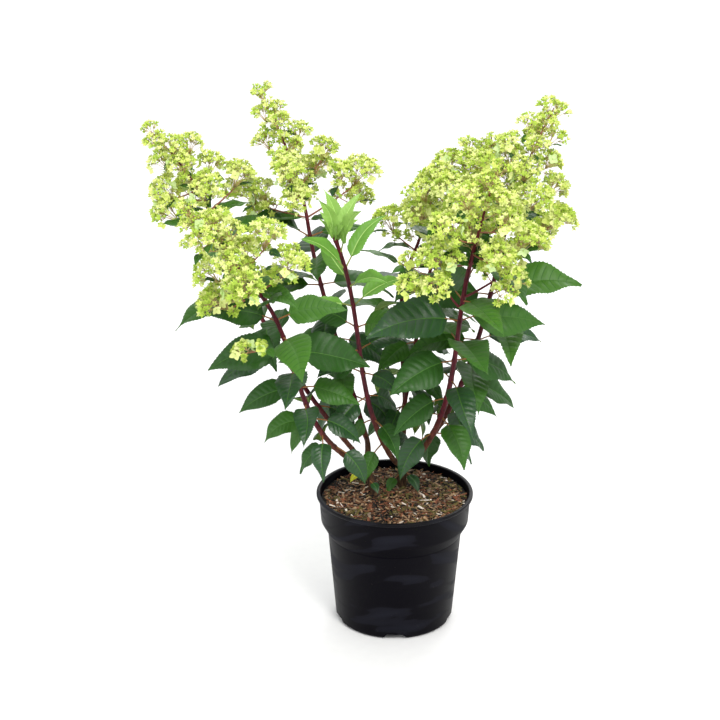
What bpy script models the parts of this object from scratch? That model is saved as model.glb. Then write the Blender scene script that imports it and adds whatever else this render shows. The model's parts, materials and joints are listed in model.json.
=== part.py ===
"""A panicle hydrangea in a black nursery pot, its flower heads just opening.

Metres, +Z up. The origin is the middle of the pot's flat underside, and the plant is seen from the
front along +Y. Every cane is a smooth curve through a few named points; pairs of leaves sit along it
at right angles to the pair below, and a cone of branching flower stalks ends it.
"""

import math
import random
from collections import namedtuple

import bmesh
import bpy
from mathutils import Matrix, Vector
from mathutils.bvhtree import BVHTree

MM = 0.001
GAP = 0.3 * MM
UP = Vector((0.0, 0.0, 1.0))

# The pot, in millimetres from its underside
POT_HEIGHT = 200.0
LIP_RADIUS = 115.0
LIP_DEPTH = 5.0
LIP_ROUND = 1.5
COLLAR_RADIUS = 111.0
COLLAR_FOOT_RADIUS = 108.5
COLLAR_FOOT_HEIGHT = 157.0
BODY_TOP_RADIUS = 98.5
BODY_TOP_HEIGHT = 139.0
BASE_RADIUS = 87.0
BASE_ROUND = 6.0
WALL = 1.8
FLOOR = 2.6
PAD_RADIUS = 60.0
GROOVE_HEIGHT = 8.0
SKIRT_WALL = 2.4
POT_STEPS = 32
NOTCHES = 5
NOTCH_WIDTH = 37.0
NOTCH_HEIGHT = 8.0
NOTCH_SLOPE = 6.5
NOTCH_IN = 14.0
NOTCH_SPARE = 5.0

# The potting mix and the bark mulch on it
MULCH_TOP = 190.0
MULCH_DEPTH = 14.0
MULCH_ROUND = 4.0
MIX_STEPS = 32
FILL_GAP = 0.4

# The two old stumps that the canes spring from, in millimetres; an arm leads to each cane
Stump = namedtuple("Stump", "foot fork foot_radius fork_radius")
STUMPS = {
    "left": Stump((-26, 12, 190), (-45, 24, 232), 6.8, 5.6),
    "right": Stump((9, 40, 190), (14, 42, 228), 8.2, 6.4),
}
STUMP_FLARE = 1.35
STUMP_LIFT = 6.0
STUMP_STEPS = 3
ARM_RADIUS = 4.6
ARM_STEPS = 4
ARM_ROOT = 0.25
LIMB_RESOLUTION = 2

# One cane: its path's four points in millimetres, thickness, leaves and flower head
Cane = namedtuple(
    "Cane",
    "name stump start low high top radius bare pairs turn leaf"
    " bloom_tip bloom_reach bloom_whorls seed",
)
CANES = (
    Cane("front_left", "left", (-74, -20, 266), (-149, -60, 344), (-133, -97, 465),
         (-184, -140, 554), 3.9, 0.03, 10, 0, 92, (-276, -190, 690), 82, 8, 3),
    Cane("far_left", "left", (-66, 8, 268), (-149, 23, 367), (-213, 41, 484),
         (-263, 60, 604), 3.7, 0.14, 7, 15, 110, (-346, 72, 724), 68, 8, 6),
    Cane("back_left", "left", (-42, 32, 272), (-77, 59, 387), (-115, 97, 494),
         (-127, 122, 572), 3.9, 0.12, 7, 5, 104, (-197, 168, 755), 100, 8, 8),
    Cane("middle", "right", (-6, 14, 250), (-64, -6, 355), (-42, -22, 490),
         (-87, -40, 604), 3.9, 0.02, 11, 40, 84, None, 0, 0, 12),
    Cane("back_middle", "right", (2, 58, 256), (29, 72, 351), (33, 100, 467),
         (73, 130, 569), 3.3, 0.12, 6, 50, 88, (140, 149, 694), 86, 8, 15),
    Cane("front_right", "right", (42, 12, 262), (91, -35, 361), (78, -76, 478),
         (96, -120, 586), 4.3, 0.06, 9, 25, 110, (128, -139, 727), 100, 8, 21),
    Cane("far_right", "right", (46, 44, 254), (112, 47, 345), (133, 53, 463),
         (156, 60, 576), 4.1, 0.08, 9, 12, 112, (222, 79, 756), 100, 9, 27),
    Cane("back", "right", (14, 74, 256), (26, 136, 335), (-10, 184, 410),
         (30, 226, 490), 3.8, 0.10, 7, 15, 104, (60, 258, 588), 60, 5, 33),
)
CANE_TAPER = 0.72
LEAD = 0.45
CANE_STEPS = 4
SPLIT = 0.52
STEM_SIDES = 5
STEM_STEPS = 4

# Small flower clusters on stalks of their own, from the side of a cane
SideBloom = namedtuple("SideBloom", "name cane along tip size heads seed")
SIDE_BLOOMS = (
    SideBloom("side_bloom_left", "front_left", 0.66, (-206, -152, 484), 8.0, 2, 41),
    SideBloom("side_bloom_right", "front_right", 0.86, (146, -150, 590), 17.0, 4, 43),
    SideBloom("side_bloom_front", "front_right", 0.80, (34, -150, 606), 19.0, 5, 47),
)

# Leaves: proportions of their length
LEAF_STATIONS = ((0.0, 0.035), (0.36, 0.28), (0.70, 0.185))
LEAF_THICK = 0.016
LEAF_FOLD = 0.20
LEAF_SWAY = 0.17
LEAF_ROOT = 0.45
FIRST_PAIR = 0.42
TUFT_CLOSE = 1.35
LEAF_LEAST = 38.0
LEAF_SHORT = 0.60
LEAF_SWELL = 2.0
LEAF_VARY = 0.10
LEAF_OVER_MULCH = 2.0
PETIOLE = 14.0
PETIOLE_RADIUS = 1.3
LEAF_CLIMB_LOW = math.radians(-18)
LEAF_CLIMB_HIGH = math.radians(32)
TUFT_CLIMB = math.radians(48)
LEAF_ARCH_LOW = math.radians(66)
LEAF_ARCH_HIGH = math.radians(34)
TUFT_ARCH = math.radians(30)
LEAF_LEAN = 0.55
LEAF_LIGHT = Vector((0.0, -0.40, 0.0))
CROWN_MIDDLE = Vector((-30.0, 70.0, 0.0)) * MM
LEAF_CLEAR = 1.12
LEAF_FRAMES = 12

# Where a leaf would touch something: swing about its cane, drop or rise, and share of its length
Try = namedtuple("Try", "swing climb length")
LEAF_TRIES = (
    Try(0.0, 0.0, 1.0), Try(0.22, 0.0, 1.0), Try(-0.22, 0.0, 1.0),
    Try(0.44, 0.1, 0.92), Try(-0.44, 0.1, 0.92), Try(0.0, 0.35, 0.9),
    Try(0.3, -0.35, 0.85), Try(-0.3, 0.5, 0.8), Try(0.0, -0.5, 0.75),
)

# Flower stalks and heads; a pair of numbers is a range that a seeded draw picks from
STALK_SIDES = 3
FIRST_WHORL = 0.40
CONE_POWER = 0.92
STALK_REACH = (0.62, 1.0)
STALK_LEAST = 15.0
STALK_THIN = 0.4
STALK_SWAY = 0.15
WHORL_SWAY = 0.3
RACHIS_TAPER = 0.45
HEAD_RADIUS = 24.0
HEAD_SHRINK = 0.44
HEAD_SIZE = (0.85, 1.12)
HEAD_TILT = 0.5
FORK_SIZE = (0.72, 0.92)
FORK_REACH = (0.38, 0.50)
SIDE_SIZE = (0.65, 0.85)
SIDE_REACH = (0.9, 1.2)
TOP_HEAD = 11.0
TOP_HEAD_ROOT = 0.85
HEAD_SIDES = 5
HEAD_DOME = 0.75
HEAD_UNDER = 0.45
HEAD_ROUGH = 0.16
STALK_RADIUS = 1.5
WIDE_ANGLE = math.radians(76)
NARROW_ANGLE = math.radians(32)
FORK_ANGLE = math.radians(50)
FORK_LEAST = 42.0
FORK_PLACE = 0.5
FORK_THIN = 0.6
STALK_RISE = 0.18
SIDE_SPRING = 3.0
SIDE_FORK = 0.6
SIDE_END = 1.5
CROWDED = 0.72
TWIG_ROOT = 1.1
TWIG_END = 0.8
CAST_FROM = 20.0
PATH_SAMPLES = 20

# One flower head: where its stalk leaves, where it sits, the way it faces, its size, and the number
# of the head whose stalk it forks from
Head = namedtuple("Head", "root tip way size radius parent seed")

STEM_END = 1.01
LEAF_MASSES = ("lower_leaves_", "upper_leaves_")
COLLECTION = "panicle_hydrangea"


def clear_scene():
    for thing in list(bpy.data.objects):
        bpy.data.objects.remove(thing, do_unlink=True)


def new_collection(name):
    made = bpy.data.collections.new(name)
    bpy.context.scene.collection.children.link(made)
    return made


def principled(name, colour, roughness):
    material = bpy.data.materials.new(name)
    material.use_nodes = True
    shader = material.node_tree.nodes["Principled BSDF"]
    shader.inputs["Base Color"].default_value = (*colour, 1.0)
    shader.inputs["Roughness"].default_value = roughness
    shader.inputs["Metallic"].default_value = 0.0
    return material


def make_materials():
    return {
        "pot": principled("black_plastic", (0.012, 0.013, 0.018), 0.38),
        "mix": principled("potting_mix", (0.045, 0.030, 0.020), 0.95),
        "mulch": principled("bark_mulch", (0.22, 0.12, 0.07), 0.90),
        "bark": principled("old_bark", (0.16, 0.10, 0.06), 0.85),
        "cane": principled("red_cane", (0.13, 0.022, 0.028), 0.50),
        "leaf": principled("leaf_green", (0.030, 0.120, 0.022), 0.45),
        "bloom": principled("lime_bloom", (0.56, 0.72, 0.16), 0.60),
    }


def vector_mm(point):
    return Vector(point) * MM


def bezier(points, t):
    """The point at t, 0 to 1, of the smooth curve led by these points."""
    rest = [Vector(p) for p in points]
    while len(rest) > 1:
        rest = [a.lerp(b, t) for a, b in zip(rest, rest[1:])]
    return rest[0]


def bezier_way(points, t):
    step = 0.01
    return (bezier(points, min(1.0, t + step)) - bezier(points, max(0.0, t - step))).normalized()


def cane_path(cane):
    return [vector_mm(p) for p in (cane.start, cane.low, cane.high, cane.top)]


def cane_radius(cane, t):
    return cane.radius * MM * (1.0 - (1.0 - CANE_TAPER) * t)


def frame_about(way, turn):
    """Two unit vectors square to way; the first is level and turned by turn from +X."""
    level = Vector((math.cos(turn), math.sin(turn), 0.0))
    side = (level - way * level.dot(way)).normalized()
    return side, way.cross(side).normalized()


def any_frame(way):
    """Two unit vectors square to way, from +X, or from +Y where way lies along X."""
    return frame_about(way, 0.0 if abs(way.x) < 0.9 else math.pi / 2.0)


def loft(sections, tip=None):
    """A closed mesh over rings of equal count, flat at its start, and at its end a cap or a tip."""
    shape = bmesh.new()
    rings = [[shape.verts.new(p) for p in ring] for ring in sections]
    count = len(rings[0])
    shape.faces.new(reversed(rings[0]))
    for low, high in zip(rings, rings[1:]):
        for i in range(count):
            j = (i + 1) % count
            shape.faces.new((low[i], low[j], high[j], high[i]))
    if tip is None:
        shape.faces.new(rings[-1])
    else:
        point = shape.verts.new(tip)
        for i in range(count):
            shape.faces.new((rings[-1][i], rings[-1][(i + 1) % count], point))
    bmesh.ops.triangulate(shape, faces=shape.faces[:])
    return shape


def tree_of(shape):
    return BVHTree.FromBMesh(shape)


def mesh_object(name, shape, material, collection):
    mesh = bpy.data.meshes.new(name)
    shape.to_mesh(mesh)
    shape.free()
    made = bpy.data.objects.new(name, mesh)
    collection.objects.link(made)
    mesh.materials.append(material)
    return made


def round_ring(centre, way, radius, sides):
    """Corners of a round section square to way."""
    side, other = any_frame(way)
    angles = [2.0 * math.pi * i / sides for i in range(sides)]
    return [centre + radius * (side * math.cos(a) + other * math.sin(a)) for a in angles]


def twig(start, end, start_radius, end_radius):
    """A thin straight stalk."""
    way = (end - start).normalized()
    return loft([
        round_ring(start, way, start_radius, STALK_SIDES),
        round_ring(end, way, end_radius, STALK_SIDES),
    ])


def limb_curve(name, places, radii, material, collection):
    """A limb as a curve object with filled caps."""
    data = bpy.data.curves.new(name, "CURVE")
    data.dimensions = "3D"
    data.bevel_depth = 1.0
    data.bevel_resolution = LIMB_RESOLUTION
    data.use_fill_caps = True
    line = data.splines.new("POLY")
    line.points.add(len(places) - 1)
    for point, place, radius in zip(line.points, places, radii):
        point.co = (*place, 1.0)
        point.radius = radius
    made = bpy.data.objects.new(name, data)
    collection.objects.link(made)
    data.materials.append(material)
    return made


def curve_to_mesh(made):
    """The same limb as a mesh with its caps welded on; the curve is removed."""
    bpy.context.view_layer.update()
    graph = bpy.context.evaluated_depsgraph_get()
    mesh = bpy.data.meshes.new_from_object(made.evaluated_get(graph))
    shape = bmesh.new()
    shape.from_mesh(mesh)
    bmesh.ops.remove_doubles(shape, verts=shape.verts[:], dist=0.001 * MM)
    bmesh.ops.recalc_face_normals(shape, faces=shape.faces[:])
    shape.to_mesh(mesh)
    shape.free()
    name = made.name
    place = made.matrix_world.copy()
    home = made.users_collection[0]
    bpy.data.objects.remove(made, do_unlink=True)
    solid = bpy.data.objects.new(name, mesh)
    home.objects.link(solid)
    solid.matrix_world = place
    return solid


def join_with(body, pieces):
    """Fuses the pieces to the body with one union on a collection, applied, and removes the pieces."""
    group = new_collection(body.name + "_pieces")
    for number, piece in enumerate(pieces):
        mesh_object(f"{body.name}_piece_{number}", piece, body.data.materials[0], group)
    union = body.modifiers.new("fuse", "BOOLEAN")
    union.operation = "UNION"
    union.operand_type = "COLLECTION"
    union.collection = group
    union.solver = "EXACT"
    bpy.context.view_layer.update()
    graph = bpy.context.evaluated_depsgraph_get()
    fused = bpy.data.meshes.new_from_object(body.evaluated_get(graph))
    body.modifiers.remove(union)
    body.data = fused
    for piece in list(group.objects):
        bpy.data.objects.remove(piece, do_unlink=True)
    bpy.data.collections.remove(group)
    return body


def arc(centre, radius, start, end, steps):
    """Points of a round corner in the (radius, height) plane, angles in degrees."""
    angles = [math.radians(start + (end - start) * i / steps) for i in range(steps + 1)]
    return [(centre[0] + radius * math.cos(a), centre[1] + radius * math.sin(a)) for a in angles]


def turned(name, outline, steps, material, collection):
    """A solid of revolution; the outline's outer side runs from top to bottom."""
    shape = bmesh.new()
    points = [shape.verts.new((r * MM, 0.0, z * MM)) for r, z in outline]
    for a, b in zip(points, points[1:]):
        shape.edges.new((a, b))
    made = mesh_object(name, shape, material, collection)
    spin = made.modifiers.new("turn", "SCREW")
    spin.steps = steps
    spin.render_steps = steps
    spin.use_merge_vertices = True
    spin.merge_threshold = 0.00001
    return made


def wall_radius(height):
    """The pot's outer radius at a height, without its lip."""
    if height >= COLLAR_FOOT_HEIGHT:
        rise = (height - COLLAR_FOOT_HEIGHT) / (POT_HEIGHT - COLLAR_FOOT_HEIGHT)
        return COLLAR_FOOT_RADIUS + rise * (COLLAR_RADIUS - COLLAR_FOOT_RADIUS)
    if height >= BODY_TOP_HEIGHT:
        rise = (height - BODY_TOP_HEIGHT) / (COLLAR_FOOT_HEIGHT - BODY_TOP_HEIGHT)
        return BODY_TOP_RADIUS + rise * (COLLAR_FOOT_RADIUS - BODY_TOP_RADIUS)
    return BASE_RADIUS + height / BODY_TOP_HEIGHT * (BODY_TOP_RADIUS - BASE_RADIUS)


def pot_outline():
    """From the middle of the floor up the inside, over the lip, down the outside and under the base."""
    floor_high = GROOVE_HEIGHT + FLOOR
    inside = [
        (0.0, FLOOR),
        (PAD_RADIUS - WALL, FLOOR),
        (PAD_RADIUS - WALL, floor_high),
        (wall_radius(floor_high) - WALL, floor_high),
        (BODY_TOP_RADIUS - WALL, BODY_TOP_HEIGHT),
        (COLLAR_FOOT_RADIUS - WALL, COLLAR_FOOT_HEIGHT),
        (COLLAR_RADIUS - WALL, POT_HEIGHT - LIP_ROUND),
        (COLLAR_RADIUS - WALL + LIP_ROUND, POT_HEIGHT),
    ]
    lip = arc((LIP_RADIUS - LIP_ROUND, POT_HEIGHT - LIP_ROUND), LIP_ROUND, 90, 0, 1)
    lip += [(LIP_RADIUS, POT_HEIGHT - LIP_DEPTH), (COLLAR_RADIUS, POT_HEIGHT - LIP_DEPTH)]
    outside = [(COLLAR_FOOT_RADIUS, COLLAR_FOOT_HEIGHT), (BODY_TOP_RADIUS, BODY_TOP_HEIGHT)]
    foot = arc((BASE_RADIUS - BASE_ROUND, BASE_ROUND), BASE_ROUND, 0, -90, 1)
    groove = [
        (BASE_RADIUS - BASE_ROUND - SKIRT_WALL, 0.0),
        (BASE_RADIUS - BASE_ROUND - SKIRT_WALL, GROOVE_HEIGHT),
        (PAD_RADIUS + WALL, GROOVE_HEIGHT),
        (PAD_RADIUS + WALL, 0.0),
        (0.0, 0.0),
    ]
    return inside + lip + outside + foot + groove


def notch_cutter(number, collection):
    """A low trapezium through the pot's skirt, at the front for number 0."""
    half = NOTCH_WIDTH / 2.0
    outline = (
        (-half, -NOTCH_SPARE), (-half, 0.0), (-half + NOTCH_SLOPE, NOTCH_HEIGHT),
        (half - NOTCH_SLOPE, NOTCH_HEIGHT), (half, 0.0), (half, -NOTCH_SPARE),
    )
    far = BASE_RADIUS + NOTCH_SPARE
    near = BASE_RADIUS - NOTCH_IN
    shape = loft([
        [Vector((x, -far, z)) * MM for x, z in outline],
        [Vector((x, -near, z)) * MM for x, z in outline],
    ])
    bmesh.ops.recalc_face_normals(shape, faces=shape.faces[:])
    cutter = bpy.data.objects.new(f"notch_{number}", bpy.data.meshes.new(f"notch_{number}"))
    shape.to_mesh(cutter.data)
    shape.free()
    cutter.rotation_euler.z = 2.0 * math.pi * number / NOTCHES
    cutter.display_type = "WIRE"
    cutter.hide_render = True
    collection.objects.link(cutter)
    return cutter


def make_pot(materials, collection, cutters):
    pot = turned("pot", pot_outline(), POT_STEPS, materials["pot"], collection)
    for number in range(NOTCHES):
        cut = pot.modifiers.new(f"notch_{number}", "BOOLEAN")
        cut.operation = "DIFFERENCE"
        cut.solver = "EXACT"
        cut.object = notch_cutter(number, cutters)


def make_fill(materials, collection):
    """Potting mix that fills the pot, and the layer of bark mulch that lies on it."""
    floor_high = GROOVE_HEIGHT + FLOOR + FILL_GAP
    mix_top = MULCH_TOP - MULCH_DEPTH
    inner = WALL + FILL_GAP
    mix = [
        (0.0, mix_top),
        (wall_radius(mix_top) - inner, mix_top),
        (COLLAR_FOOT_RADIUS - inner, COLLAR_FOOT_HEIGHT),
        (BODY_TOP_RADIUS - inner, BODY_TOP_HEIGHT),
        (wall_radius(floor_high) - inner, floor_high),
        (PAD_RADIUS - inner, floor_high),
        (PAD_RADIUS - inner, FLOOR + FILL_GAP),
        (0.0, FLOOR + FILL_GAP),
    ]
    turned("potting_mix", mix, MIX_STEPS, materials["mix"], collection)
    under = mix_top + FILL_GAP
    mulch = [
        (0.0, MULCH_TOP),
        (wall_radius(MULCH_TOP) - inner - MULCH_ROUND, MULCH_TOP),
        (wall_radius(MULCH_TOP) - inner - FILL_GAP, MULCH_TOP - MULCH_ROUND),
        (wall_radius(under) - inner, under),
        (0.0, under),
    ]
    turned("bark_mulch", mulch, MIX_STEPS, materials["mulch"], collection)


def stump_arm(stump, cane):
    """Rings from inside the stump's fork to just short of the cane's flat start."""
    way_out = bezier_way(cane_path(cane), 0.0)
    end = vector_mm(cane.start) - way_out * GAP
    fork = vector_mm(stump.fork)
    root = fork.lerp(vector_mm(stump.foot), ARM_ROOT)
    lead = end - way_out * (end - fork).length * LEAD
    line = (root, fork.lerp(lead, 0.5), lead, end)
    sections = []
    for i in range(ARM_STEPS + 1):
        share = i / ARM_STEPS
        way = way_out if share == 1.0 else bezier_way(line, share)
        radius = (ARM_RADIUS + (cane.radius - ARM_RADIUS) * share) * MM
        sections.append(round_ring(bezier(line, share), way, radius, STEM_SIDES))
    return sections


def make_stump(name, stump, materials, collection):
    """Flared foot, flat at the mulch, up to the fork, with one arm towards each of its canes."""
    foot = vector_mm(stump.foot) + UP * GAP
    lift = foot + UP * STUMP_LIFT * MM
    fork = vector_mm(stump.fork)
    places = [foot]
    radii = [stump.foot_radius * STUMP_FLARE * MM]
    for i in range(STUMP_STEPS + 1):
        share = i / STUMP_STEPS
        places.append(lift.lerp(fork, share))
        radii.append((stump.foot_radius + (stump.fork_radius - stump.foot_radius) * share) * MM)
    body = curve_to_mesh(limb_curve("stump_" + name, places, radii, materials["bark"], collection))
    arms = [loft(stump_arm(stump, cane)) for cane in CANES if cane.stump == name]
    return join_with(body, arms)


def make_cane_foot(cane, end, materials, collection):
    """The bare lower length of a cane, from the stump's arm to its first leaves."""
    shares = [end * i / CANE_STEPS for i in range(CANE_STEPS + 1)]
    places = [bezier(cane_path(cane), t) for t in shares]
    radii = [cane_radius(cane, t) for t in shares]
    limb = limb_curve("cane_" + cane.name, places, radii, materials["cane"], collection)
    return curve_to_mesh(limb)


def cane_stem(cane, low, high):
    """A stretch of the cane, with its ends square to it."""
    path = cane_path(cane)
    sections = []
    for i in range(STEM_STEPS + 1):
        t = low + (high - low) * i / STEM_STEPS
        sections.append(round_ring(bezier(path, t), bezier_way(path, t), cane_radius(cane, t), STEM_SIDES))
    return loft(sections)


def middle_of(cane):
    """Where, along the cane, its lower leafy length ends and the upper one starts."""
    return cane.bare + (1.0 - cane.bare) * SPLIT


def path_length(path):
    places = [bezier(path, i / PATH_SAMPLES) for i in range(PATH_SAMPLES + 1)]
    return sum((b - a).length for a, b in zip(places, places[1:]))


def gap_along(cane):
    """How much of the cane's run, 0 to 1, the gap between two lengths of it is."""
    return GAP / path_length(cane_path(cane))


def leaf_ring(centre, side, lift, half_width, half_thick, fold):
    """Left edge, under, right edge and upper side of the blade at one place."""
    rise = lift * half_width * fold
    return [
        centre - side * half_width + rise,
        centre - lift * half_thick,
        centre + side * half_width + rise,
        centre + lift * half_thick,
    ]


def leaf_frames(root, heading, climb, arch, stalk, length):
    """Centres and their lift and side along the stalk and the arching blade.

    The blade rolls about its middle line, so that its upper face looks up, out of the crown and to
    the light.
    """
    out = root - CROWN_MIDDLE
    out.z = 0.0
    face = UP + out.normalized() * LEAF_LEAN + LEAF_LIGHT
    middle = heading * math.cos(climb - arch / 2.0) + UP * math.sin(climb - arch / 2.0)
    side = middle.cross(face).normalized()
    frames = []
    place = root.copy()
    step = (stalk + length) / LEAF_FRAMES
    angle = climb
    for _ in range(LEAF_FRAMES + 1):
        way = heading * math.cos(angle) + UP * math.sin(angle)
        across = (side - way * side.dot(way)).normalized()
        frames.append((place.copy(), across.cross(way).normalized(), across))
        place = place + way * step
        angle -= arch / LEAF_FRAMES
    return frames


def leaf_at(frames, along):
    spot = along * (len(frames) - 1)
    low = min(int(spot), len(frames) - 2)
    part = spot - low
    return tuple(p.lerp(q, part) for p, q in zip(frames[low], frames[low + 1]))


def leaf_shape(root, heading, climb, arch, stalk, length, fatter=1.0):
    """A pointed blade on its stalk; its root starts inside the cane."""
    frames = leaf_frames(root, heading, climb, arch, stalk, length)
    total = stalk + length
    thin = PETIOLE_RADIUS * MM
    centre, lift, side = frames[0]
    sections = [leaf_ring(centre, side, lift, thin, thin, 0.0)]
    for share, width in LEAF_STATIONS:
        centre, lift, side = leaf_at(frames, (stalk + share * length) / total)
        thick = thin if share == 0.0 else LEAF_THICK * length * 0.5 * fatter
        half = width * length * fatter
        sections.append(leaf_ring(centre, side, lift, max(half, thin), thick, LEAF_FOLD))
    return loft(sections, frames[-1][0])


def leaf_length(cane, number, draw):
    """Smaller at the foot of the cane and towards its top."""
    share = (number + 0.5) / cane.pairs
    bell = LEAF_SHORT + (1.0 - LEAF_SHORT) * math.sin(math.pi * share ** LEAF_SWELL)
    size = cane.leaf * bell * draw.uniform(1.0 - LEAF_VARY, 1.0 + LEAF_VARY)
    return max(LEAF_LEAST, size) * MM


def leaf_nodes(cane):
    """For each pair of leaves: place along the cane, turn, climb, arch and the two lengths."""
    draw = random.Random(cane.seed)
    nodes = []
    for number in range(cane.pairs):
        share = (number + FIRST_PAIR) / cane.pairs
        if not cane.bloom_tip:
            share = 1.0 - (1.0 - share) ** TUFT_CLOSE
        climb = LEAF_CLIMB_LOW + (LEAF_CLIMB_HIGH - LEAF_CLIMB_LOW) * share
        arch = LEAF_ARCH_LOW + (LEAF_ARCH_HIGH - LEAF_ARCH_LOW) * share
        if not cane.bloom_tip:
            climb += TUFT_CLIMB * share ** 3
            arch += (TUFT_ARCH - arch) * share ** 3
        turn = math.radians(cane.turn + 90 * number) + draw.uniform(-LEAF_SWAY, LEAF_SWAY)
        for half in range(2):
            size = leaf_length(cane, number, draw)
            lift = climb + draw.uniform(-LEAF_SWAY, LEAF_SWAY)
            along = cane.bare + (1.0 - cane.bare) * share
            nodes.append((along, turn + math.pi * half, lift, arch, size))
    return nodes


def place_leaf(cane, node, taken):
    """Turns, drops or shrinks a leaf until it touches nothing, or gives it up."""
    along, turn, climb, arch, size = node
    path = cane_path(cane)
    side, _ = frame_about(bezier_way(path, along), turn)
    root = bezier(path, along) + side * cane_radius(cane, along) * LEAF_ROOT
    stalk = PETIOLE * MM + cane_radius(cane, along)
    for attempt in LEAF_TRIES:
        angle = math.atan2(side.y, side.x) + attempt.swing
        heading = Vector((math.cos(angle), math.sin(angle), 0.0))
        blade = (root, heading, climb + attempt.climb, arch, stalk, size * attempt.length)
        test = leaf_shape(*blade, fatter=LEAF_CLEAR)
        tree = tree_of(test)
        lowest = min(vert.co.z for vert in test.verts)
        test.free()
        high_enough = lowest > (MULCH_TOP + LEAF_OVER_MULCH) * MM
        if high_enough and not any(tree.overlap(other) for other in taken):
            return leaf_shape(*blade), tree
    return None


def leaves_of(cane, low, high, taken):
    """The leaves whose nodes lie between low and high, kept clear of what is there already."""
    leaves = []
    for node in leaf_nodes(cane):
        if not low <= node[0] < high:
            continue
        leaf = place_leaf(cane, node, taken + [tree for _, tree in leaves])
        if leaf:
            leaves.append(leaf)
    return leaves


def head_shape(centre, way, radius, draw):
    """A domed cluster of florets: a small round solid, flattened across the stalk and roughened."""
    shape = bmesh.new()
    side, other = any_frame(way)
    turn = Matrix((side, other, way)).transposed()
    bmesh.ops.create_uvsphere(shape, u_segments=HEAD_SIDES, v_segments=2, radius=1.0)
    for vert in shape.verts:
        rough = 1.0 + draw.uniform(-HEAD_ROUGH, HEAD_ROUGH)
        flat = HEAD_DOME if vert.co.z > 0.0 else HEAD_UNDER
        flat = Vector((vert.co.x, vert.co.y, vert.co.z * flat)) * rough * radius
        vert.co = centre + turn @ flat
    return shape


def spread(way, angle, turn):
    """The direction at an angle to way, turned about it."""
    side, other = any_frame(way)
    return way * math.cos(angle) + (side * math.cos(turn) + other * math.sin(turn)) * math.sin(angle)


def add_head(root, tip, way, size, radius, parent, draw, heads):
    """A stalk and the head on it, unless the place is taken by another head of the same cone."""
    if any((tip - other.tip).length < CROWDED * (size + other.size) for other in heads):
        return None
    heads.append(Head(root, tip, (way + UP * HEAD_TILT).normalized(), size, radius, parent, draw.random()))
    return len(heads) - 1


def stalk_with_heads(root, way, length, radius, draw, heads, share):
    """One side stalk: its own head, smaller higher up, and where it is long enough two more on forks."""
    end = root + way * length + UP * length * STALK_RISE
    shrink = 1.0 - HEAD_SHRINK * share
    size = HEAD_RADIUS * MM * shrink * draw.uniform(*HEAD_SIZE)
    parent = add_head(root, end, way, size, radius, None, draw, heads)
    turn = draw.uniform(0.0, math.pi)
    if parent is None or length < FORK_LEAST * MM:
        return
    for number in range(2):
        out = spread(way, FORK_ANGLE, turn + math.pi * number)
        fork = root.lerp(end, FORK_PLACE)
        tip = fork + out * length * draw.uniform(*FORK_REACH)
        size = HEAD_RADIUS * MM * shrink * draw.uniform(*FORK_SIZE)
        add_head(fork, tip, out, size, radius * FORK_THIN, parent, draw, heads)


def head_solids(heads, taken):
    """Each head with its stalk, where neither these nor the stalk it forks from touch another mass."""
    kept = {}
    for number, head in enumerate(heads):
        if head.parent is not None and head.parent not in kept:
            continue
        pair = (
            twig(head.root, head.tip, head.radius * TWIG_ROOT, head.radius * TWIG_END),
            head_shape(head.tip, head.way, head.size, random.Random(head.seed)),
        )
        trees = [tree_of(piece) for piece in pair]
        if any(tree.overlap(other) for tree in trees for _, other in taken):
            for piece in pair:
                piece.free()
        else:
            kept[number] = pair
    return [piece for pair in kept.values() for piece in pair]


def bloom_path(cane):
    """The middle stalk of the flower head, which goes on from the cane."""
    path = cane_path(cane)
    tip = vector_mm(cane.bloom_tip)
    lead = path[-1] + bezier_way(path, 1.0) * (tip - path[-1]).length * LEAD
    return [path[-1], lead, tip]


def bloom_heads(cane):
    """Side stalks in crossing pairs up the middle stalk, shorter and steeper towards its tip."""
    draw = random.Random(cane.seed)
    path = bloom_path(cane)
    heads = []
    whorls = cane.bloom_whorls
    for number in range(whorls):
        share = (number + FIRST_WHORL) / whorls
        place = bezier(path, share)
        way = bezier_way(path, share)
        angle = WIDE_ANGLE + (NARROW_ANGLE - WIDE_ANGLE) * share
        for half in range(2):
            turn = math.radians(cane.turn + 90 * number + 180 * half)
            turn += draw.uniform(-WHORL_SWAY, WHORL_SWAY)
            length = cane.bloom_reach * (1.0 - share) ** CONE_POWER * draw.uniform(*STALK_REACH)
            length = max(length, STALK_LEAST) * MM
            out = spread(way, angle + draw.uniform(-STALK_SWAY, STALK_SWAY), turn)
            radius = STALK_RADIUS * MM * (1.0 - STALK_THIN * share)
            stalk_with_heads(place, out, length, radius, draw, heads, share)
    top = bezier(path, TOP_HEAD_ROOT)
    add_head(top, path[-1], bezier_way(path, 1.0), TOP_HEAD * MM, STALK_RADIUS * MM, None, draw, heads)
    return heads


def bloom_stem(cane):
    """The tapering middle stalk, which starts just clear of the cane."""
    path = bloom_path(cane)
    start = 2.0 * GAP / (path[-1] - path[0]).length
    thick = cane_radius(cane, 1.0)
    sections = []
    for i in range(STEM_STEPS + 1):
        share = i / STEM_STEPS
        t = start + (1.0 - start) * share
        radius = thick * (1.0 - (1.0 - RACHIS_TAPER) * share)
        sections.append(round_ring(bezier(path, t), bezier_way(path, t), radius, STEM_SIDES))
    return loft(sections)


def solid_tree(made):
    shape = bmesh.new()
    shape.from_mesh(made.data)
    tree = BVHTree.FromBMesh(shape)
    shape.free()
    return tree


def make_mass(name, stem, pieces, material, collection):
    body = mesh_object(name, stem, material, collection)
    return join_with(body, pieces)


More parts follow.
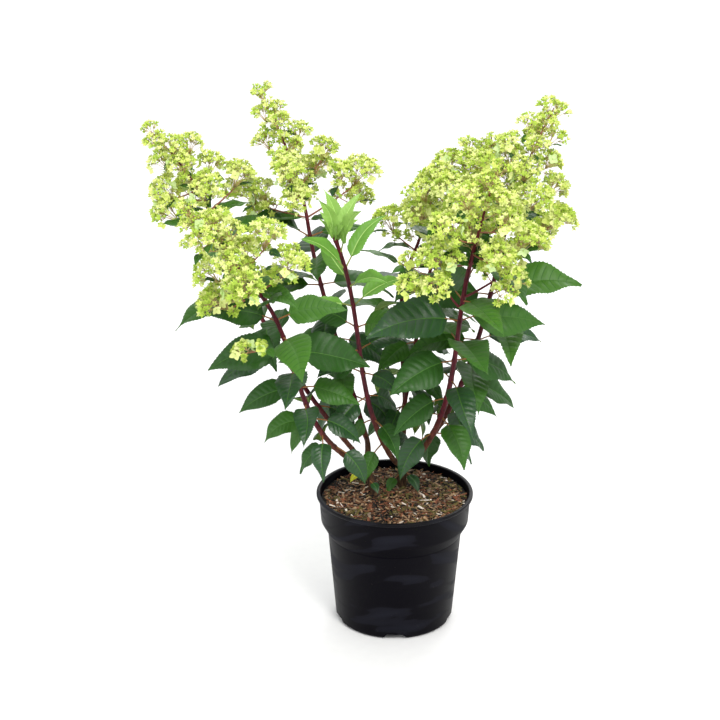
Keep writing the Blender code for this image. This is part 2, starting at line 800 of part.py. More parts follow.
def side_stalk(cane, along, tip, tree):
    """A stalk that springs square from the face of the cane and bends towards its tip.

    Gives its rings and the place near its end where it forks.
    """
    centre = bezier(cane_path(cane), along)
    way = bezier_way(cane_path(cane), along)
    square = ((tip - centre) - way * (tip - centre).dot(way)).normalized()
    face, normal, _, _ = tree.ray_cast(centre + square * CAST_FROM * MM, -square)
    start = face + normal * GAP
    bend = start + normal * SIDE_SPRING * MM
    fork = bend.lerp(tip, SIDE_FORK)
    away = (tip - bend).normalized()
    end = fork + away * SIDE_END * MM
    radius = STALK_RADIUS * MM
    rings = [
        round_ring(start, normal, radius, STEM_SIDES),
        round_ring(bend, (away + normal).normalized(), radius, STEM_SIDES),
        round_ring(end, away, radius, STEM_SIDES),
    ]
    return rings, fork


def make_side_bloom(side, materials, collection, taken):
    """A small cluster on a stalk of its own."""
    draw = random.Random(side.seed)
    cane = next(c for c in CANES if c.name == side.cane)
    half = 0 if side.along < middle_of(cane) else 1
    tree = next(tree for owner, tree in taken if owner == (cane.name, half))
    tip = vector_mm(side.tip)
    rings, fork = side_stalk(cane, side.along, tip, tree)
    away = (tip - fork).normalized()
    heads = []
    add_head(fork, tip, away, side.size * MM, STALK_RADIUS * MM * FORK_THIN, None, draw, heads)
    for number in range(side.heads):
        out = spread(away, FORK_ANGLE, 2.0 * math.pi * number / side.heads)
        end = fork + out * (tip - fork).length * draw.uniform(*SIDE_REACH)
        size = side.size * MM * draw.uniform(*SIDE_SIZE)
        add_head(fork, end, out, size, STALK_RADIUS * MM * FORK_THIN, None, draw, heads)
    pieces = head_solids(heads, taken)
    return make_mass(side.name, loft(rings), pieces, materials["bloom"], collection)


def make_leaf_masses(cane, stems, ends, materials, collection, taken):
    """The two lengths of the cane that carry leaves, each fused with its own."""
    for half, (low, high) in enumerate(ends):
        others = [tree for owner, tree in taken if owner != (cane.name, half)]
        leaves = leaves_of(cane, low, high, others)
        name = LEAF_MASSES[half] + cane.name
        make_mass(name, stems[half], [shape for shape, _ in leaves], materials["leaf"], collection)
        taken.extend((name, tree) for _, tree in leaves)


def build():
    clear_scene()
    materials = make_materials()
    parts = new_collection(COLLECTION)
    make_pot(materials, parts, new_collection("cutters"))
    make_fill(materials, parts)
    taken = []
    for name, stump in STUMPS.items():
        taken.append((name, solid_tree(make_stump(name, stump, materials, parts))))
    stems = {}
    ends = {}
    for cane in CANES:
        middle = middle_of(cane)
        space = gap_along(cane)
        ends[cane.name] = ((cane.bare, middle), (middle, STEM_END))
        stems[cane.name] = (
            cane_stem(cane, cane.bare + space, middle),
            cane_stem(cane, middle + space, 1.0),
        )
        taken.append((cane.name, solid_tree(make_cane_foot(cane, cane.bare, materials, parts))))
        for half, stem in enumerate(stems[cane.name]):
            taken.append(((cane.name, half), tree_of(stem)))
    for cane in CANES:
        if cane.bloom_tip:
            pieces = head_solids(bloom_heads(cane), taken)
            made = make_mass("bloom_" + cane.name, bloom_stem(cane), pieces, materials["bloom"], parts)
            taken.append((made.name, solid_tree(made)))
    for side in SIDE_BLOOMS:
        made = make_side_bloom(side, materials, parts, taken)
        taken.append((made.name, solid_tree(made)))
    for cane in CANES:
        make_leaf_masses(cane, stems[cane.name], ends[cane.name], materials, parts, taken)


build()
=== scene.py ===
"""The looks of a panicle hydrangea in a black nursery pot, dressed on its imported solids.

Metres, +Z up. The origin is the middle of the pot's flat underside. The canes, leaves and flower
stalks grow by the same named sizes and the same seeded rule as the solids; here each leaf gets its
veins and teeth, and each flower head its florets on their own fine stalks.
"""

import json
import math
import random
from collections import namedtuple

import bmesh
import bpy
import numpy as np
from mathutils import Matrix, Vector, noise
from mathutils.bvhtree import BVHTree

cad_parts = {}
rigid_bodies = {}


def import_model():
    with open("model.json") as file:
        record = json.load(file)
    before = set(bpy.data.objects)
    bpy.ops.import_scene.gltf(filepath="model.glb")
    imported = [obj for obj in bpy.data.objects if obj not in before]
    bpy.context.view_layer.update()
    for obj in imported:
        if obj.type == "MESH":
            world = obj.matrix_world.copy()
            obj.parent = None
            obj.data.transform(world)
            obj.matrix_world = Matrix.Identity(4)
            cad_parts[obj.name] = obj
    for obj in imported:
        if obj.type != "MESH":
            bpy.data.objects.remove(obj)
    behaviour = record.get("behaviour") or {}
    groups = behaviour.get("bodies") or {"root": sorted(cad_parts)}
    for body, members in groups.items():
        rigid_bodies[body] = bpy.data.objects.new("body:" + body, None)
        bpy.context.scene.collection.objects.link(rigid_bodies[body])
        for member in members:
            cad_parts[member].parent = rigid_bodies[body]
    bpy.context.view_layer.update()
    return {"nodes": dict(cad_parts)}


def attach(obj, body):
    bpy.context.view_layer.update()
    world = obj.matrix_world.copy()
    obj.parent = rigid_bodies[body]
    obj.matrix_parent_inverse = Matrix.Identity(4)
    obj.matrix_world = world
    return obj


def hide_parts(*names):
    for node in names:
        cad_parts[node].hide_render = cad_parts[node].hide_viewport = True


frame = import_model()

MM = 0.001
GAP = 0.3 * MM
UP = Vector((0.0, 0.0, 1.0))
GOLDEN = math.pi * (3.0 - math.sqrt(5.0))
# From this share on a direction counts as lying along X; and a direction that no limb starts along
ALONG_X = 0.9
ASIDE = (0.3, 0.9, 0.1)

# The camera: its place, its tilt from straight down, to look 21.28 degrees below level, and its lens
CAMERA_PLACE = (-0.051, -2.67, 1.446)
CAMERA_TILT = math.radians(90.0 - 21.28)
CAMERA_LENS = 100.0
CAMERA_SENSOR = 36.0

# The pot, in millimetres from its underside
POT_HEIGHT = 200.0
LIP_RADIUS = 115.0
LIP_DEPTH = 5.0
LIP_ROUND = 1.5
COLLAR_RADIUS = 111.0
COLLAR_FOOT_RADIUS = 108.5
COLLAR_FOOT_HEIGHT = 157.0
BODY_TOP_RADIUS = 98.5
BODY_TOP_HEIGHT = 139.0
SHOULDER_ROUND = 1.6
BASE_RADIUS = 87.0
BASE_ROUND = 6.0
WALL = 1.8
FLOOR = 2.6
PAD_RADIUS = 60.0
GROOVE_HEIGHT = 8.0
SKIRT_WALL = 2.4
POT_STEPS = 144
ROUND_STEPS = 5
NOTCHES = 5
NOTCH_WIDTH = 37.0
NOTCH_HEIGHT = 8.0
NOTCH_SLOPE = 6.5
NOTCH_IN = 14.0
NOTCH_SPARE = 5.0
UNDER_STEPS = 3
MERGE = 0.01
POT_SHARP = math.radians(32)
WALL_LINE = (
    (BASE_RADIUS, 0.0), (BODY_TOP_RADIUS, BODY_TOP_HEIGHT),
    (COLLAR_FOOT_RADIUS, COLLAR_FOOT_HEIGHT), (COLLAR_RADIUS, POT_HEIGHT),
)

# The bark mulch: its bed, then the chips; a pair of numbers is a range that a draw picks from
MULCH_TOP = 190.0
MULCH_RADIUS = 107.5
MULCH_DEPTH = 13.0
BED_RINGS = 40
BED_STEPS = 120
BED_SINK = 1.6
BED_ROUGH = 1.3
BED_LUMPS = 60.0
BED_GRAINS = 170.0
CHIP_SIDES = 6
CHIP_SHAPES = 8
CHIP_RAGGED = (-0.28, 0.12)
CHIP_WIDE = (0.7, 1.15)
CHIP_HIGH = (0.6, 1.1)
CHIP_RISE = (-0.8, 2.6)
CHIP_PITCH = 0.22
CHIP_TILT = 0.25
CHIP_SHARP = 35
STUMP_CLEAR = 0.9
MOSS_SPOTS = 28.0
MOSS_LAYER = 5.0
MOSS_TO_RIGHT = 2.5
MOSS_FROM = 0.04
OLIVE_SHARE = 0.32
BARK_TINTS = {
    "chip_brown": 5, "chip_red": 2.2, "chip_tan": 3.1, "chip_dark": 4.6, "chip_grey": 1, "chip_pale": 0.7,
}
Chips = namedtuple("Chips", "count length width thick tints seed")
CHIP_KINDS = (
    Chips(560, (10.0, 21.0), (2.6, 5.6), (1.0, 2.2), BARK_TINTS, 101),
    Chips(2000, (5.5, 11.0), (1.5, 3.2), (0.8, 1.8), BARK_TINTS, 102),
    Chips(700, (2.0, 4.5), (1.3, 2.4), (0.8, 1.6), BARK_TINTS, 103),
    Chips(450, (1.6, 3.2), (1.2, 2.2), (0.8, 1.4), {"moss": 1}, 104),
)

# The two old stumps that the canes spring from, in millimetres; an arm leads to each cane
Stump = namedtuple("Stump", "foot fork foot_radius fork_radius")
STUMPS = {
    "left": Stump((-26, 12, 190), (-45, 24, 232), 6.8, 5.6),
    "right": Stump((9, 40, 190), (14, 42, 228), 8.2, 6.4),
}

# Small late leaves on the old wood: the place each springs from, its turn, climb, length and colour
LateLeaf = namedtuple("LateLeaf", "place turn climb length tint")
LATE_LEAVES = {
    "left": (LateLeaf((-52, 10, 224), -125, 10, 19, "leaf_yellow"),
             LateLeaf((-36, 8, 212), -60, -5, 20, "leaf_blue")),
    "right": (LateLeaf((6, 34, 210), -130, -20, 26, "leaf_mid"),
              LateLeaf((16, 34, 216), -50, -15, 30, "leaf_blue")),
}
LATE_ARCH = math.radians(50)
LATE_STALK = 0.3

# The form of the old wood, and its relief of furrows and lumps
STUMP_FLARE = 1.35
FLARE_FADE = 9.0
STUMP_SINK = 3.0
STUMP_TOP = 2.0
STUMP_STEPS = 12
ARM_RADIUS = 4.6
ARM_ROOT = 0.25
ARM_STEPS = 16
BARK_SIDES = 20
BARK_VOXEL = 1.1
FURROWS = 260.0
FURROWS_UP = 60.0
FURROW_SHARP = 2.2
FURROW_DEPTH = 0.55
LUMPS = 90.0
LUMP_DEPTH = 0.5
BARK_SINK = 0.35

# One cane: its path's four points in millimetres, thickness, leaves and flower head
Cane = namedtuple(
    "Cane",
    "name stump start low high top radius bare pairs turn leaf"
    " bloom_tip bloom_reach bloom_whorls seed",
)
CANES = (
    Cane("front_left", "left", (-74, -20, 266), (-149, -60, 344), (-133, -97, 465),
         (-184, -140, 554), 3.9, 0.03, 10, 0, 92, (-276, -190, 690), 82, 8, 3),
    Cane("far_left", "left", (-66, 8, 268), (-149, 23, 367), (-213, 41, 484),
         (-263, 60, 604), 3.7, 0.14, 7, 15, 110, (-346, 72, 724), 68, 8, 6),
    Cane("back_left", "left", (-42, 32, 272), (-77, 59, 387), (-115, 97, 494),
         (-127, 122, 572), 3.9, 0.12, 7, 5, 104, (-197, 168, 755), 100, 8, 8),
    Cane("middle", "right", (-6, 14, 250), (-64, -6, 355), (-42, -22, 490),
         (-87, -40, 604), 3.9, 0.02, 11, 40, 84, None, 0, 0, 12),
    Cane("back_middle", "right", (2, 58, 256), (29, 72, 351), (33, 100, 467),
         (73, 130, 569), 3.3, 0.12, 6, 50, 88, (140, 149, 694), 86, 8, 15),
    Cane("front_right", "right", (42, 12, 262), (91, -35, 361), (78, -76, 478),
         (96, -120, 586), 4.3, 0.06, 9, 25, 110, (128, -139, 727), 100, 8, 21),
    Cane("far_right", "right", (46, 44, 254), (112, 47, 345), (133, 53, 463),
         (156, 60, 576), 4.1, 0.08, 9, 12, 112, (222, 79, 756), 100, 9, 27),
    Cane("back", "right", (14, 74, 256), (26, 136, 335), (-10, 184, 410),
         (30, 226, 490), 3.8, 0.10, 7, 15, 104, (60, 258, 588), 60, 5, 33),
)
CANE_TAPER = 0.72
LEAD = 0.45
SPLIT = 0.52
STEM_SIDES = 5
STEM_STEPS = 4
STEM_END = 1.01
CANE_RING_EVERY = 3.2
CANE_SIDES = 14
NODE_LENGTH = 2.4
NODE_SWELL = 0.22
CANE_GRAIN = 420.0
CANE_GRAIN_UP = 70.0
GRAIN_TOP = 0.03
GRAIN_FOOT = 0.10
PLACES_ALONG = 40

# Small flower clusters on stalks of their own, from the side of a cane
SideBloom = namedtuple("SideBloom", "name cane along tip size heads seed")
SIDE_BLOOMS = (
    SideBloom("side_bloom_left", "front_left", 0.66, (-206, -152, 484), 8.0, 2, 41),
    SideBloom("side_bloom_right", "front_right", 0.86, (146, -150, 590), 17.0, 4, 43),
    SideBloom("side_bloom_front", "front_right", 0.80, (34, -150, 606), 19.0, 5, 47),
)

# Leaves, as the solids have them: shares of their length, how they differ, and how they are turned
LEAF_STATIONS = ((0.0, 0.035), (0.36, 0.28), (0.70, 0.185))
LEAF_THICK = 0.016
LEAF_FOLD = 0.20
LEAF_SWAY = 0.17
LEAF_ROOT = 0.45
FIRST_PAIR = 0.42
TUFT_CLOSE = 1.35
LEAF_LEAST = 38.0
LEAF_SHORT = 0.60
LEAF_SWELL = 2.0
LEAF_VARY = 0.10
LEAF_OVER_MULCH = 2.0
PETIOLE = 14.0
PETIOLE_RADIUS = 1.3
LEAF_CLIMB_LOW = math.radians(-18)
LEAF_CLIMB_HIGH = math.radians(32)
TUFT_CLIMB = math.radians(48)
LEAF_ARCH_LOW = math.radians(66)
LEAF_ARCH_HIGH = math.radians(34)
TUFT_ARCH = math.radians(30)
LEAF_LEAN = 0.55
LEAF_LIGHT = Vector((0.0, -0.40, 0.0))
CROWN_MIDDLE = Vector((-30.0, 70.0, 0.0)) * MM
LEAF_CLEAR = 1.12
LEAF_FRAMES = 12

# Where a leaf would touch something: swing about its cane, drop or rise, and share of its length
Try = namedtuple("Try", "swing climb length")
LEAF_TRIES = (
    Try(0.0, 0.0, 1.0), Try(0.22, 0.0, 1.0), Try(-0.22, 0.0, 1.0),
    Try(0.44, 0.1, 0.92), Try(-0.44, 0.1, 0.92), Try(0.0, 0.35, 0.9),
    Try(0.3, -0.35, 0.85), Try(-0.3, 0.5, 0.8), Try(0.0, -0.5, 0.75),
)

# Flower stalks and heads; a pair of numbers is a range that a seeded draw picks from
STALK_SIDES = 3
FIRST_WHORL = 0.40
CONE_POWER = 0.92
STALK_REACH = (0.62, 1.0)
STALK_LEAST = 15.0
STALK_THIN = 0.4
STALK_SWAY = 0.15
WHORL_SWAY = 0.3
RACHIS_TAPER = 0.45
HEAD_RADIUS = 24.0
HEAD_SHRINK = 0.44
HEAD_SIZE = (0.85, 1.12)
HEAD_TILT = 0.5
FORK_SIZE = (0.72, 0.92)
FORK_REACH = (0.38, 0.50)
SIDE_SIZE = (0.65, 0.85)
SIDE_REACH = (0.9, 1.2)
TOP_HEAD = 11.0
TOP_HEAD_ROOT = 0.85
HEAD_SIDES = 5
HEAD_DOME = 0.75
HEAD_UNDER = 0.45
HEAD_ROUGH = 0.16
STALK_RADIUS = 1.5
WIDE_ANGLE = math.radians(76)
NARROW_ANGLE = math.radians(32)
FORK_ANGLE = math.radians(50)
FORK_LEAST = 42.0
FORK_PLACE = 0.5
FORK_THIN = 0.6
STALK_RISE = 0.18
SIDE_SPRING = 3.0
SIDE_FORK = 0.6
CROWDED = 0.72
TWIG_ROOT = 1.1
TWIG_END = 0.8
CAST_FROM = 20.0
PATH_SAMPLES = 20

# One flower head: where its stalk leaves, where it sits, the way it faces, its size, its stalk's
# radius, the number of the head whose stalk it forks from, and its share of the way up the cone
Head = namedtuple("Head", "root tip way size radius parent seed share")

# Fine leaves: their outline, side veins, teeth, folds and ripples
BLADE_WIDTH = 0.275
BLADE_POWER = 0.62
BLADE_FULL = 0.80
BLADE_POINT = 0.60
BLADE_POINT_POWER = 4
FIRST_VEIN = 0.05
LAST_VEIN = 0.90
VEIN_SWEEP = 0.20
VEIN_BASE = 0.07
VEIN_HALF = 0.0045
TOOTH = 0.019
BULGE = 0.009
QUILT = 0.0028
VEIN_CROWD = 0.94
VEIN_BOW = 1.25
RIB_COLUMN = 1e-6
NEAR = 0.001
BLADE_LEAST = 0.006
TWIST_FROM = 0.3
TOOTH_FULL = 0.1
BULGE_FULL = 0.12
PUFF_POWERS = (0.75, 0.7)
CELLS = 3.0
FOLD_POWER = 1.25
RIPPLES = 15.0
RIPPLE_APART = 1.3
RIB_FADE = 0.75
GROOVE = 0.45
GROOVE_UNDER = 2.4
EDGE_THIN = 0.35
LEAF_SHARP = 50
FINE_COLUMNS = (0.15, 0.31, 0.48, 0.66, 0.84, 1.0)
SMALL_COLUMNS = (0.55, 1.0)

# Rows of points across a leaf: place, share of a tooth and share of a bulge; those between two veins
# are placed from one vein to the next, the others along the whole leaf
BASE_ROWS = ((0.0, 0.0, 0.0), (FIRST_VEIN / 2.0, 0.5, 0.5))
PUFF_ROWS = ((0.38, 0.9, 1.0), (0.70, 0.1, 0.85))
TIP_ROWS = ((LAST_VEIN, 1.0, 0.1), (0.95, 0.0, 0.1), (1.0, 0.0, 0.0))

# How one leaf differs from the next: the range of each
Ways = namedtuple("Ways", "width fold roll wave twist sweep droop phase")
LEAF_WAYS = Ways(
    (0.90, 1.10), (0.10, 0.48), (0.0, 0.34), (0.006, 0.026),
    (-0.5, 0.5), (-0.07, 0.07), (0.0, 0.08), (0.0, 6.28),
)

# Of each kind of leaf, how thick midrib and blade are, and its stalk at either end, in millimetres
Make = namedtuple("Make", "midrib blade root end")
GROWN = Make(0.8, 0.35, 1.25, 0.95)
TUFT = Make(0.5, 0.3, 0.9, 0.6)
LATE = Make(0.5, 0.3, 0.8, 0.6)
BRACT = Make(0.35, 0.25, 0.6, 0.4)
PETIOLE_UNDER = 0.03
PETIOLE_STEPS = 8
PETIOLE_SIDES = 8
PETIOLE_FOOT = 1.35

# Colours of the leaves: shares of each for the lower and the upper length of a cane; the lower length
# takes more of the dark and bluish tints as painted shade
LOW_TINTS_WITH_PAINTED_SHADE = {"leaf_deep": 0.42, "leaf_mid": 0.16, "leaf_blue": 0.42}
HIGH_TINTS = {"leaf_deep": 0.26, "leaf_mid": 0.42, "leaf_fresh": 0.24, "leaf_blue": 0.08}
YOUNG_TINTS = ("leaf_young", "leaf_tip", "leaf_yellow")

# The young leaves of the shoot without bloom, and the bunch that it ends in
YOUNG_FROM = 0.66
YOUNG_NARROW = 0.50
YOUNG_CUP = 0.275
TIP_FROM = 0.86
TIP_LEAVES = 13
TIP_SIZES = (46.0, 15.0)
TIP_VARY = (0.9, 1.1)
TIP_NARROW = 0.46
TIP_CUP = 0.55
TIP_ROOTS = (0.975, 0.995)
TIP_CLIMBS = (58, 84)
TIP_ARCH = math.radians(22)
TIP_STALK = 3.0
TIP_SEED = 900
SEEDS_APART = 100

# Florets and buds, in millimetres; florets are smaller on a small head, greener on a low one
ANY_TURN = (0.0, 6.28)
FLORET_SIZE = (4.2, 6.2)
FLORET_LEAST = 0.4
FLORET_SPREAD = 0.8
FLORET_OUT = 0.3
FLORET_UP = 0.85
FLORET_ASLANT = 0.22
FLORET_SEAT = 0.4
SEED_SPAN = 1e9
FLORET_TINTS = ("sepal_pale", "sepal_lime", "sepal_green")
BUD_SIZE = (1.4, 2.1)
BUD_SCATTER = 0.42
SMALL_HEAD = 20.0
TINT_SHARES = (0.48, 0.32, 0.20)
GREEN_SHIFT = (-0.30, 0.0, 0.30)
GREEN_BELOW = 690.0
GREEN_SPAN = 140.0
OPEN_LOW = 0.85
OPEN_LESS = 0.45

# Shapes of unit reach: petals and eye of a floret, sepals and eye of a large one, and a bud
PETALS = 5
PETAL_ROOT = (0.05, 0.0, 0.02)
PETAL_WIDEST = 0.50
PETAL_WIDTH = 0.32
PETAL_CUP = 1.15
PETAL_FOLD = 0.14
PETAL_TIP = 0.86
EYE = 0.18
EYE_FOOT = 0.05
EYE_HIGH = 1.5
SEPALS = 4
SEPAL_STEPS = 4
SEPAL_ROOT = (0.06, 0.02)
SEPAL_WIDTH = 0.46
SEPAL_CUP = 0.46
SEPAL_FOLD = 0.16
SEPAL_LIFT = 0.10
SEPAL_POWERS = (0.75, 0.7, 1.6)
SHOW_EYE = 0.12
QUARTERS = (0.0, 1.571, 3.142, 4.712)
BUD_SIDES = 5
BUD_WAIST = 0.2
BUD_FOOT = -1.3
BUD_TOP = 1.05

# The few large florets at the lower rim of a head
SHOW_SIZE = (6.8, 9.2)
SHOW_TINTS = ("show_sepal", "sepal_pale", "sepal_lime")
SHOW_BELOW = 0.5
SHOW_COUNT_LOW = (2, 6)
SHOW_COUNT_HIGH = (0, 2)
SHOW_POLAR = (72, 118)
SHOW_FLAT = 0.6
SHOW_REACH = (0.85, 1.08)
SHOW_UP = 0.35
SHOW_ASLANT = 0.25

# A head is a dome of small umbels; sizes are shares of the head's, or of the umbel's
DOME_TILT = 0.5
DOME_RISE = 0.12
DOME_HEIGHT = 0.58
DOME_ROUGH = (0.80, 1.14)
HEAD_FORK = 1.05
HEAD_EYE = 0.55
UMBELS_LEAST = 4
UMBELS_ON_SMALL = 9.0
UMBEL_LOW = math.radians(90)
UMBEL_SPREAD = 0.76
UMBEL_RADIUS = 0.33
UMBEL_VARY = (0.85, 1.15)
UMBEL_ROUGH = (0.75, 1.12)
UMBEL_FLORETS = 7
UMBEL_RIM = math.radians(84)
UMBEL_DEEP = 1.25
UMBEL_BUDS = 2

# Stalks within a head: their radii at root and end, in millimetres, and how they run
PEDICEL = (0.32, 0.256)
SHOW_PEDICEL = (0.48, 0.32)
BRANCHLET = (0.55, 0.4125)
BRANCHLET_SHARE = 0.6
HEAD_STALK_STEPS = 6
HEAD_STALK_SIDES = 6
HEAD_STALK_SAG = 0.04
HEAD_STALK_END = 0.06
HEAD_STALK_THIN = 0.62
BROWN_BELOW = 0.55

# Umbels on short branchlets along the outer half of a long stalk, and all round the middle stalk
STALK_UMBEL_EVERY = 14.0
STALK_UMBEL_REACH = (8.0, 13.0)
STALK_UMBEL_SIZE = (0.6, 0.85)
STALK_UMBELS_FROM = 0.42
STALK_UMBELS_SPAN = 0.5
STALK_UMBEL_AHEAD = 0.5
STALK_UMBEL_UP = 0.5
RACHIS_UMBEL_EVERY = 6.5
RACHIS_UMBEL_REACH = (12.0, 24.0)
RACHIS_UMBEL_RADIUS = (6.5, 8.5)
RACHIS_UMBEL_RISE = (0.3, 0.9)
RACHIS_UMBELS_FROM = 0.16
RACHIS_UMBELS_TO = 0.95
RACHIS_UMBEL_TURN = 0.8
RACHIS_NARROWS = 0.7
RACHIS_STEPS = 30
RACHIS_RED_STEPS = 21
RACHIS_SIDES = 10
RACHIS_END = 0.6
SIDE_STALK_STEPS = 8
SIDE_STALK_SIDES = 8
SIDE_STALK_RADII = (1.9, 1.4)

# Small leaves under the side stalks of a cone
BRACT_LEAST = 9.0
BRACT_MORE = 66.0
BRACT_LESSEN = 4
BRACT_FINE = 44.0
BRACTS_TO = 0.80
BRACT_BELOW = 0.02
BRACT_TURN = 0.5
BRACT_VARY = (0.8, 1.15)
BRACT_STALK = (3.0, 9.0)
BRACT_CLIMB = (0.1, 0.9)
BRACT_ARCH = (30, 80)
BRACT_NARROW = 0.85
BRACT_SEED = 500
BRACT_TINTS = ("leaf_mid", "leaf_deep", "leaf_fresh")

# Small dark leaves at the forks of the heads
HEAD_BRACT_CHANCE = 0.65
HEAD_BRACTS_TO = 0.78
HEAD_BRACT_SIZE = (16.0, 26.0)
HEAD_BRACT_CLIMB = (0.1, 0.8)
HEAD_BRACT_ARCH = (30, 70)
HEAD_BRACT_STALK = 0.55
HEAD_BRACT_SWAY = 0.7
HEAD_BRACT_LIGHT = 2.0
HEAD_BRACT_NARROW = 0.9
HEAD_BRACT_TINTS = ("leaf_deep", "leaf_blue", "leaf_mid")

# Patterns of the materials: their scale and stretch, and stops of (place, level or colour); a BUMP
# is strength and depth in metres
NOISE_ROUGH = 0.6
ROUGH_SPREAD = (-0.08, 0.10)
LITTLE_DETAIL = 2.0
SOME_DETAIL = 3.0
MORE_DETAIL = 4.0
FULL_DETAIL = 5.0
SPECK_STRENGTH = 0.35
SMEAR_BOWS = 2.0
SMEAR_START = 0.9
SMEAR_BOW = 0.5
SMEAR_BEND = 2.2
SMEAR_WANDER = 5.0
SMEAR_ROWS = 30.0
SMEAR_ROUND = 0.6
SMEAR_NOISE = (1.5, 1.6, 0.5)
SMEAR_STOPS = ((0.48, (6, 5, 11)), (0.535, (8, 7, 13)), (0.555, (19, 19, 26)), (0.75, (26, 27, 35)))
DUST_COLOUR = (120, 112, 100)
DUST_SCALE = 900.0
DUST_STOPS = ((0.77, 0.0), (0.80, 1.0))
POT_ROUGH = ((0.50, 0.40), (0.58, 0.56))
POT_BUMP = (0.2, 0.0003)
GRAIN_SCALE = 420.0
GRAIN_PULL = (1.0, 1.0, 0.35)
STREAK_SCALE = 260.0
STREAK_PULL = (1.0, 1.0, 0.22)
STREAK_LOW = (0.35, 0.62)
STREAK_HIGH = (0.35, 0.65)
PORE_SCALE = 420.0
PORE_PULL = (1.0, 1.0, 0.45)
PORE_STOPS = ((0.07, 0.4), (0.12, 0.0))
PORE_COLOUR = (128, 84, 66)
BARK_ROUGH = ((0.0, 0.85), (1.0, 0.48))
BARK_SHINE = 0.25
BARK_BUMP = (0.5, 0.0006)
FIBRE_SCALE = 300.0
FIBRE_PULL = (1.0, 0.5, 1.0)
FIBRE_SPAN = (0.32, 0.66)
MULCH_BUMP = (0.6, 0.0006)
DRY_ROUGH = 0.9
PAPER_SCALE = 60.0
PAPER_STOPS = ((0.3, 0.90), (0.7, 0.92))

# Materials of the plant: colour, roughness, grain, relief in metres and shine
PLANT_COLOURS = {
    "leaf_deep": ((38, 80, 21), 0.42, 520.0, 0.0006, 0.31),
    "leaf_mid": ((54, 99, 27), 0.42, 520.0, 0.0006, 0.31),
    "leaf_fresh": ((66, 112, 35), 0.44, 520.0, 0.0006, 0.30),
    # a darker, bluish green whose colour paints shade and a bluish sheen on some leaves; its higher shine
    # is real
    "leaf_blue": ((34, 71, 34), 0.36, 520.0, 0.0006, 0.46),
    "leaf_young": ((108, 160, 62), 0.48, 900.0, 0.0003, 0.30),
    "leaf_tip": ((148, 190, 92), 0.48, 900.0, 0.0003, 0.30),
    "leaf_yellow": ((196, 196, 44), 0.50, 900.0, 0.0003, 0.30),
    "leaf_under": ((92, 124, 46), 0.65, 900.0, 0.0004, 0.20),
    "young_under": ((132, 178, 84), 0.65, 900.0, 0.0004, 0.20),
    "young_vein": ((182, 216, 128), 0.50, 900.0, 0.0002, 0.25),
    "vein_top": ((70, 114, 44), 0.50, 900.0, 0.0002, 0.25),
    "vein_fine": ((44, 92, 28), 0.50, 900.0, 0.0002, 0.25),
    "vein_under": ((142, 162, 92), 0.60, 900.0, 0.0002, 0.20),
    "petiole": ((142, 96, 52), 0.50, 900.0, 0.0002, 0.30),
    "petiole_green": ((140, 150, 76), 0.50, 900.0, 0.0002, 0.30),
    "rachis_red": ((96, 28, 38), 0.52, 900.0, 0.0003, 0.30),
    "stalk_brown": ((160, 104, 84), 0.55, 900.0, 0.0002, 0.25),
    "stalk_tan": ((206, 176, 124), 0.55, 900.0, 0.0002, 0.20),
    "pedicel": ((212, 194, 140), 0.55, 900.0, 0.0002, 0.20),
    "sepal_pale": ((230, 238, 156), 0.60, 1500.0, 0.0002, 0.20),
    "sepal_lime": ((212, 226, 118), 0.60, 1500.0, 0.0002, 0.20),
    "sepal_green": ((182, 208, 86), 0.60, 1500.0, 0.0002, 0.20),
    "bud_lime": ((196, 220, 84), 0.55, 1500.0, 0.0002, 0.25),
    "bud_green": ((170, 204, 66), 0.55, 1500.0, 0.0002, 0.25),
    "show_sepal": ((206, 228, 160), 0.60, 1500.0, 0.0002, 0.20),
    "eye_green": ((168, 202, 72), 0.55, 1500.0, 0.0002, 0.25),
}
MULCH_TINTS = {
    "chip_brown": ((64, 38, 22), (130, 90, 60)),
    "chip_red": ((98, 52, 32), (156, 96, 66)),
    "chip_tan": ((118, 88, 60), (194, 160, 124)),
    "chip_dark": ((16, 10, 6), (44, 29, 18)),
    # the bed's near-black tint is painted shade, for the gaps between the chips
    "chip_shade": ((7, 4, 2), (16, 10, 6)),
    "chip_grey": ((98, 82, 66), (150, 130, 110)),
    "chip_pale": ((214, 194, 174), (248, 238, 228)),
    "chip_olive": ((64, 56, 24), (116, 104, 54)),
    "moss": ((58, 58, 16), (104, 102, 40)),
}

# How much each part of the pot's plastic shines
POT_SHINE = {"pot_body": 0.055, "pot_shoulder": 0.025, "pot_lip": 0.12}

# Bark: two tints at the foot, two higher up, and the heights, in metres, between which they change
BARKS = {
    "old_bark": ((44, 32, 22), (98, 74, 50), (58, 34, 26), (104, 66, 46), 0.19, 0.27),
    "cane_bark": ((84, 50, 36), (120, 78, 54), (54, 6, 17), (98, 16, 34), 0.25, 0.33),
}

# The studio
FLOOR_SIZE = 24.0
FLOOR_DROP = 0.0002
WORLD_STRENGTH = 0.85
WHITE = (1.0, 1.0, 1.0)
Light = namedtuple("Light", "name place target size power colour")
LIGHTS = (
    Light("key", (0.8, -2.0, 2.7), (0.0, 0.0, 0.35), 1.2, 56.0, (1.0, 0.985, 0.96)),
    Light("fill", (-2.0, -1.6, 1.3), (0.0, 0.0, 0.4), 2.0, 16.0, (0.96, 0.98, 1.0)),
    Light("rim", (0.6, 2.2, 2.0), (0.0, 0.0, 0.5), 1.4, 24.0, WHITE),
    Light("backdrop", (0.0, 5.5, 5.0), (0.0, 4.8, 0.0), 8.0, 135.0, WHITE),
)


# Plain geometry, the same as in the solids


def vector_mm(point):
    return Vector(point) * MM


def between(low, high, share):
    return low + (high - low) * share


def steps(count):
    """Shares from 0 to 1 in count equal steps."""
    return [i / count for i in range(count + 1)]


def level_way(turn):
    """The level direction turned from +X."""
    return Vector((math.cos(turn), math.sin(turn), 0.0))


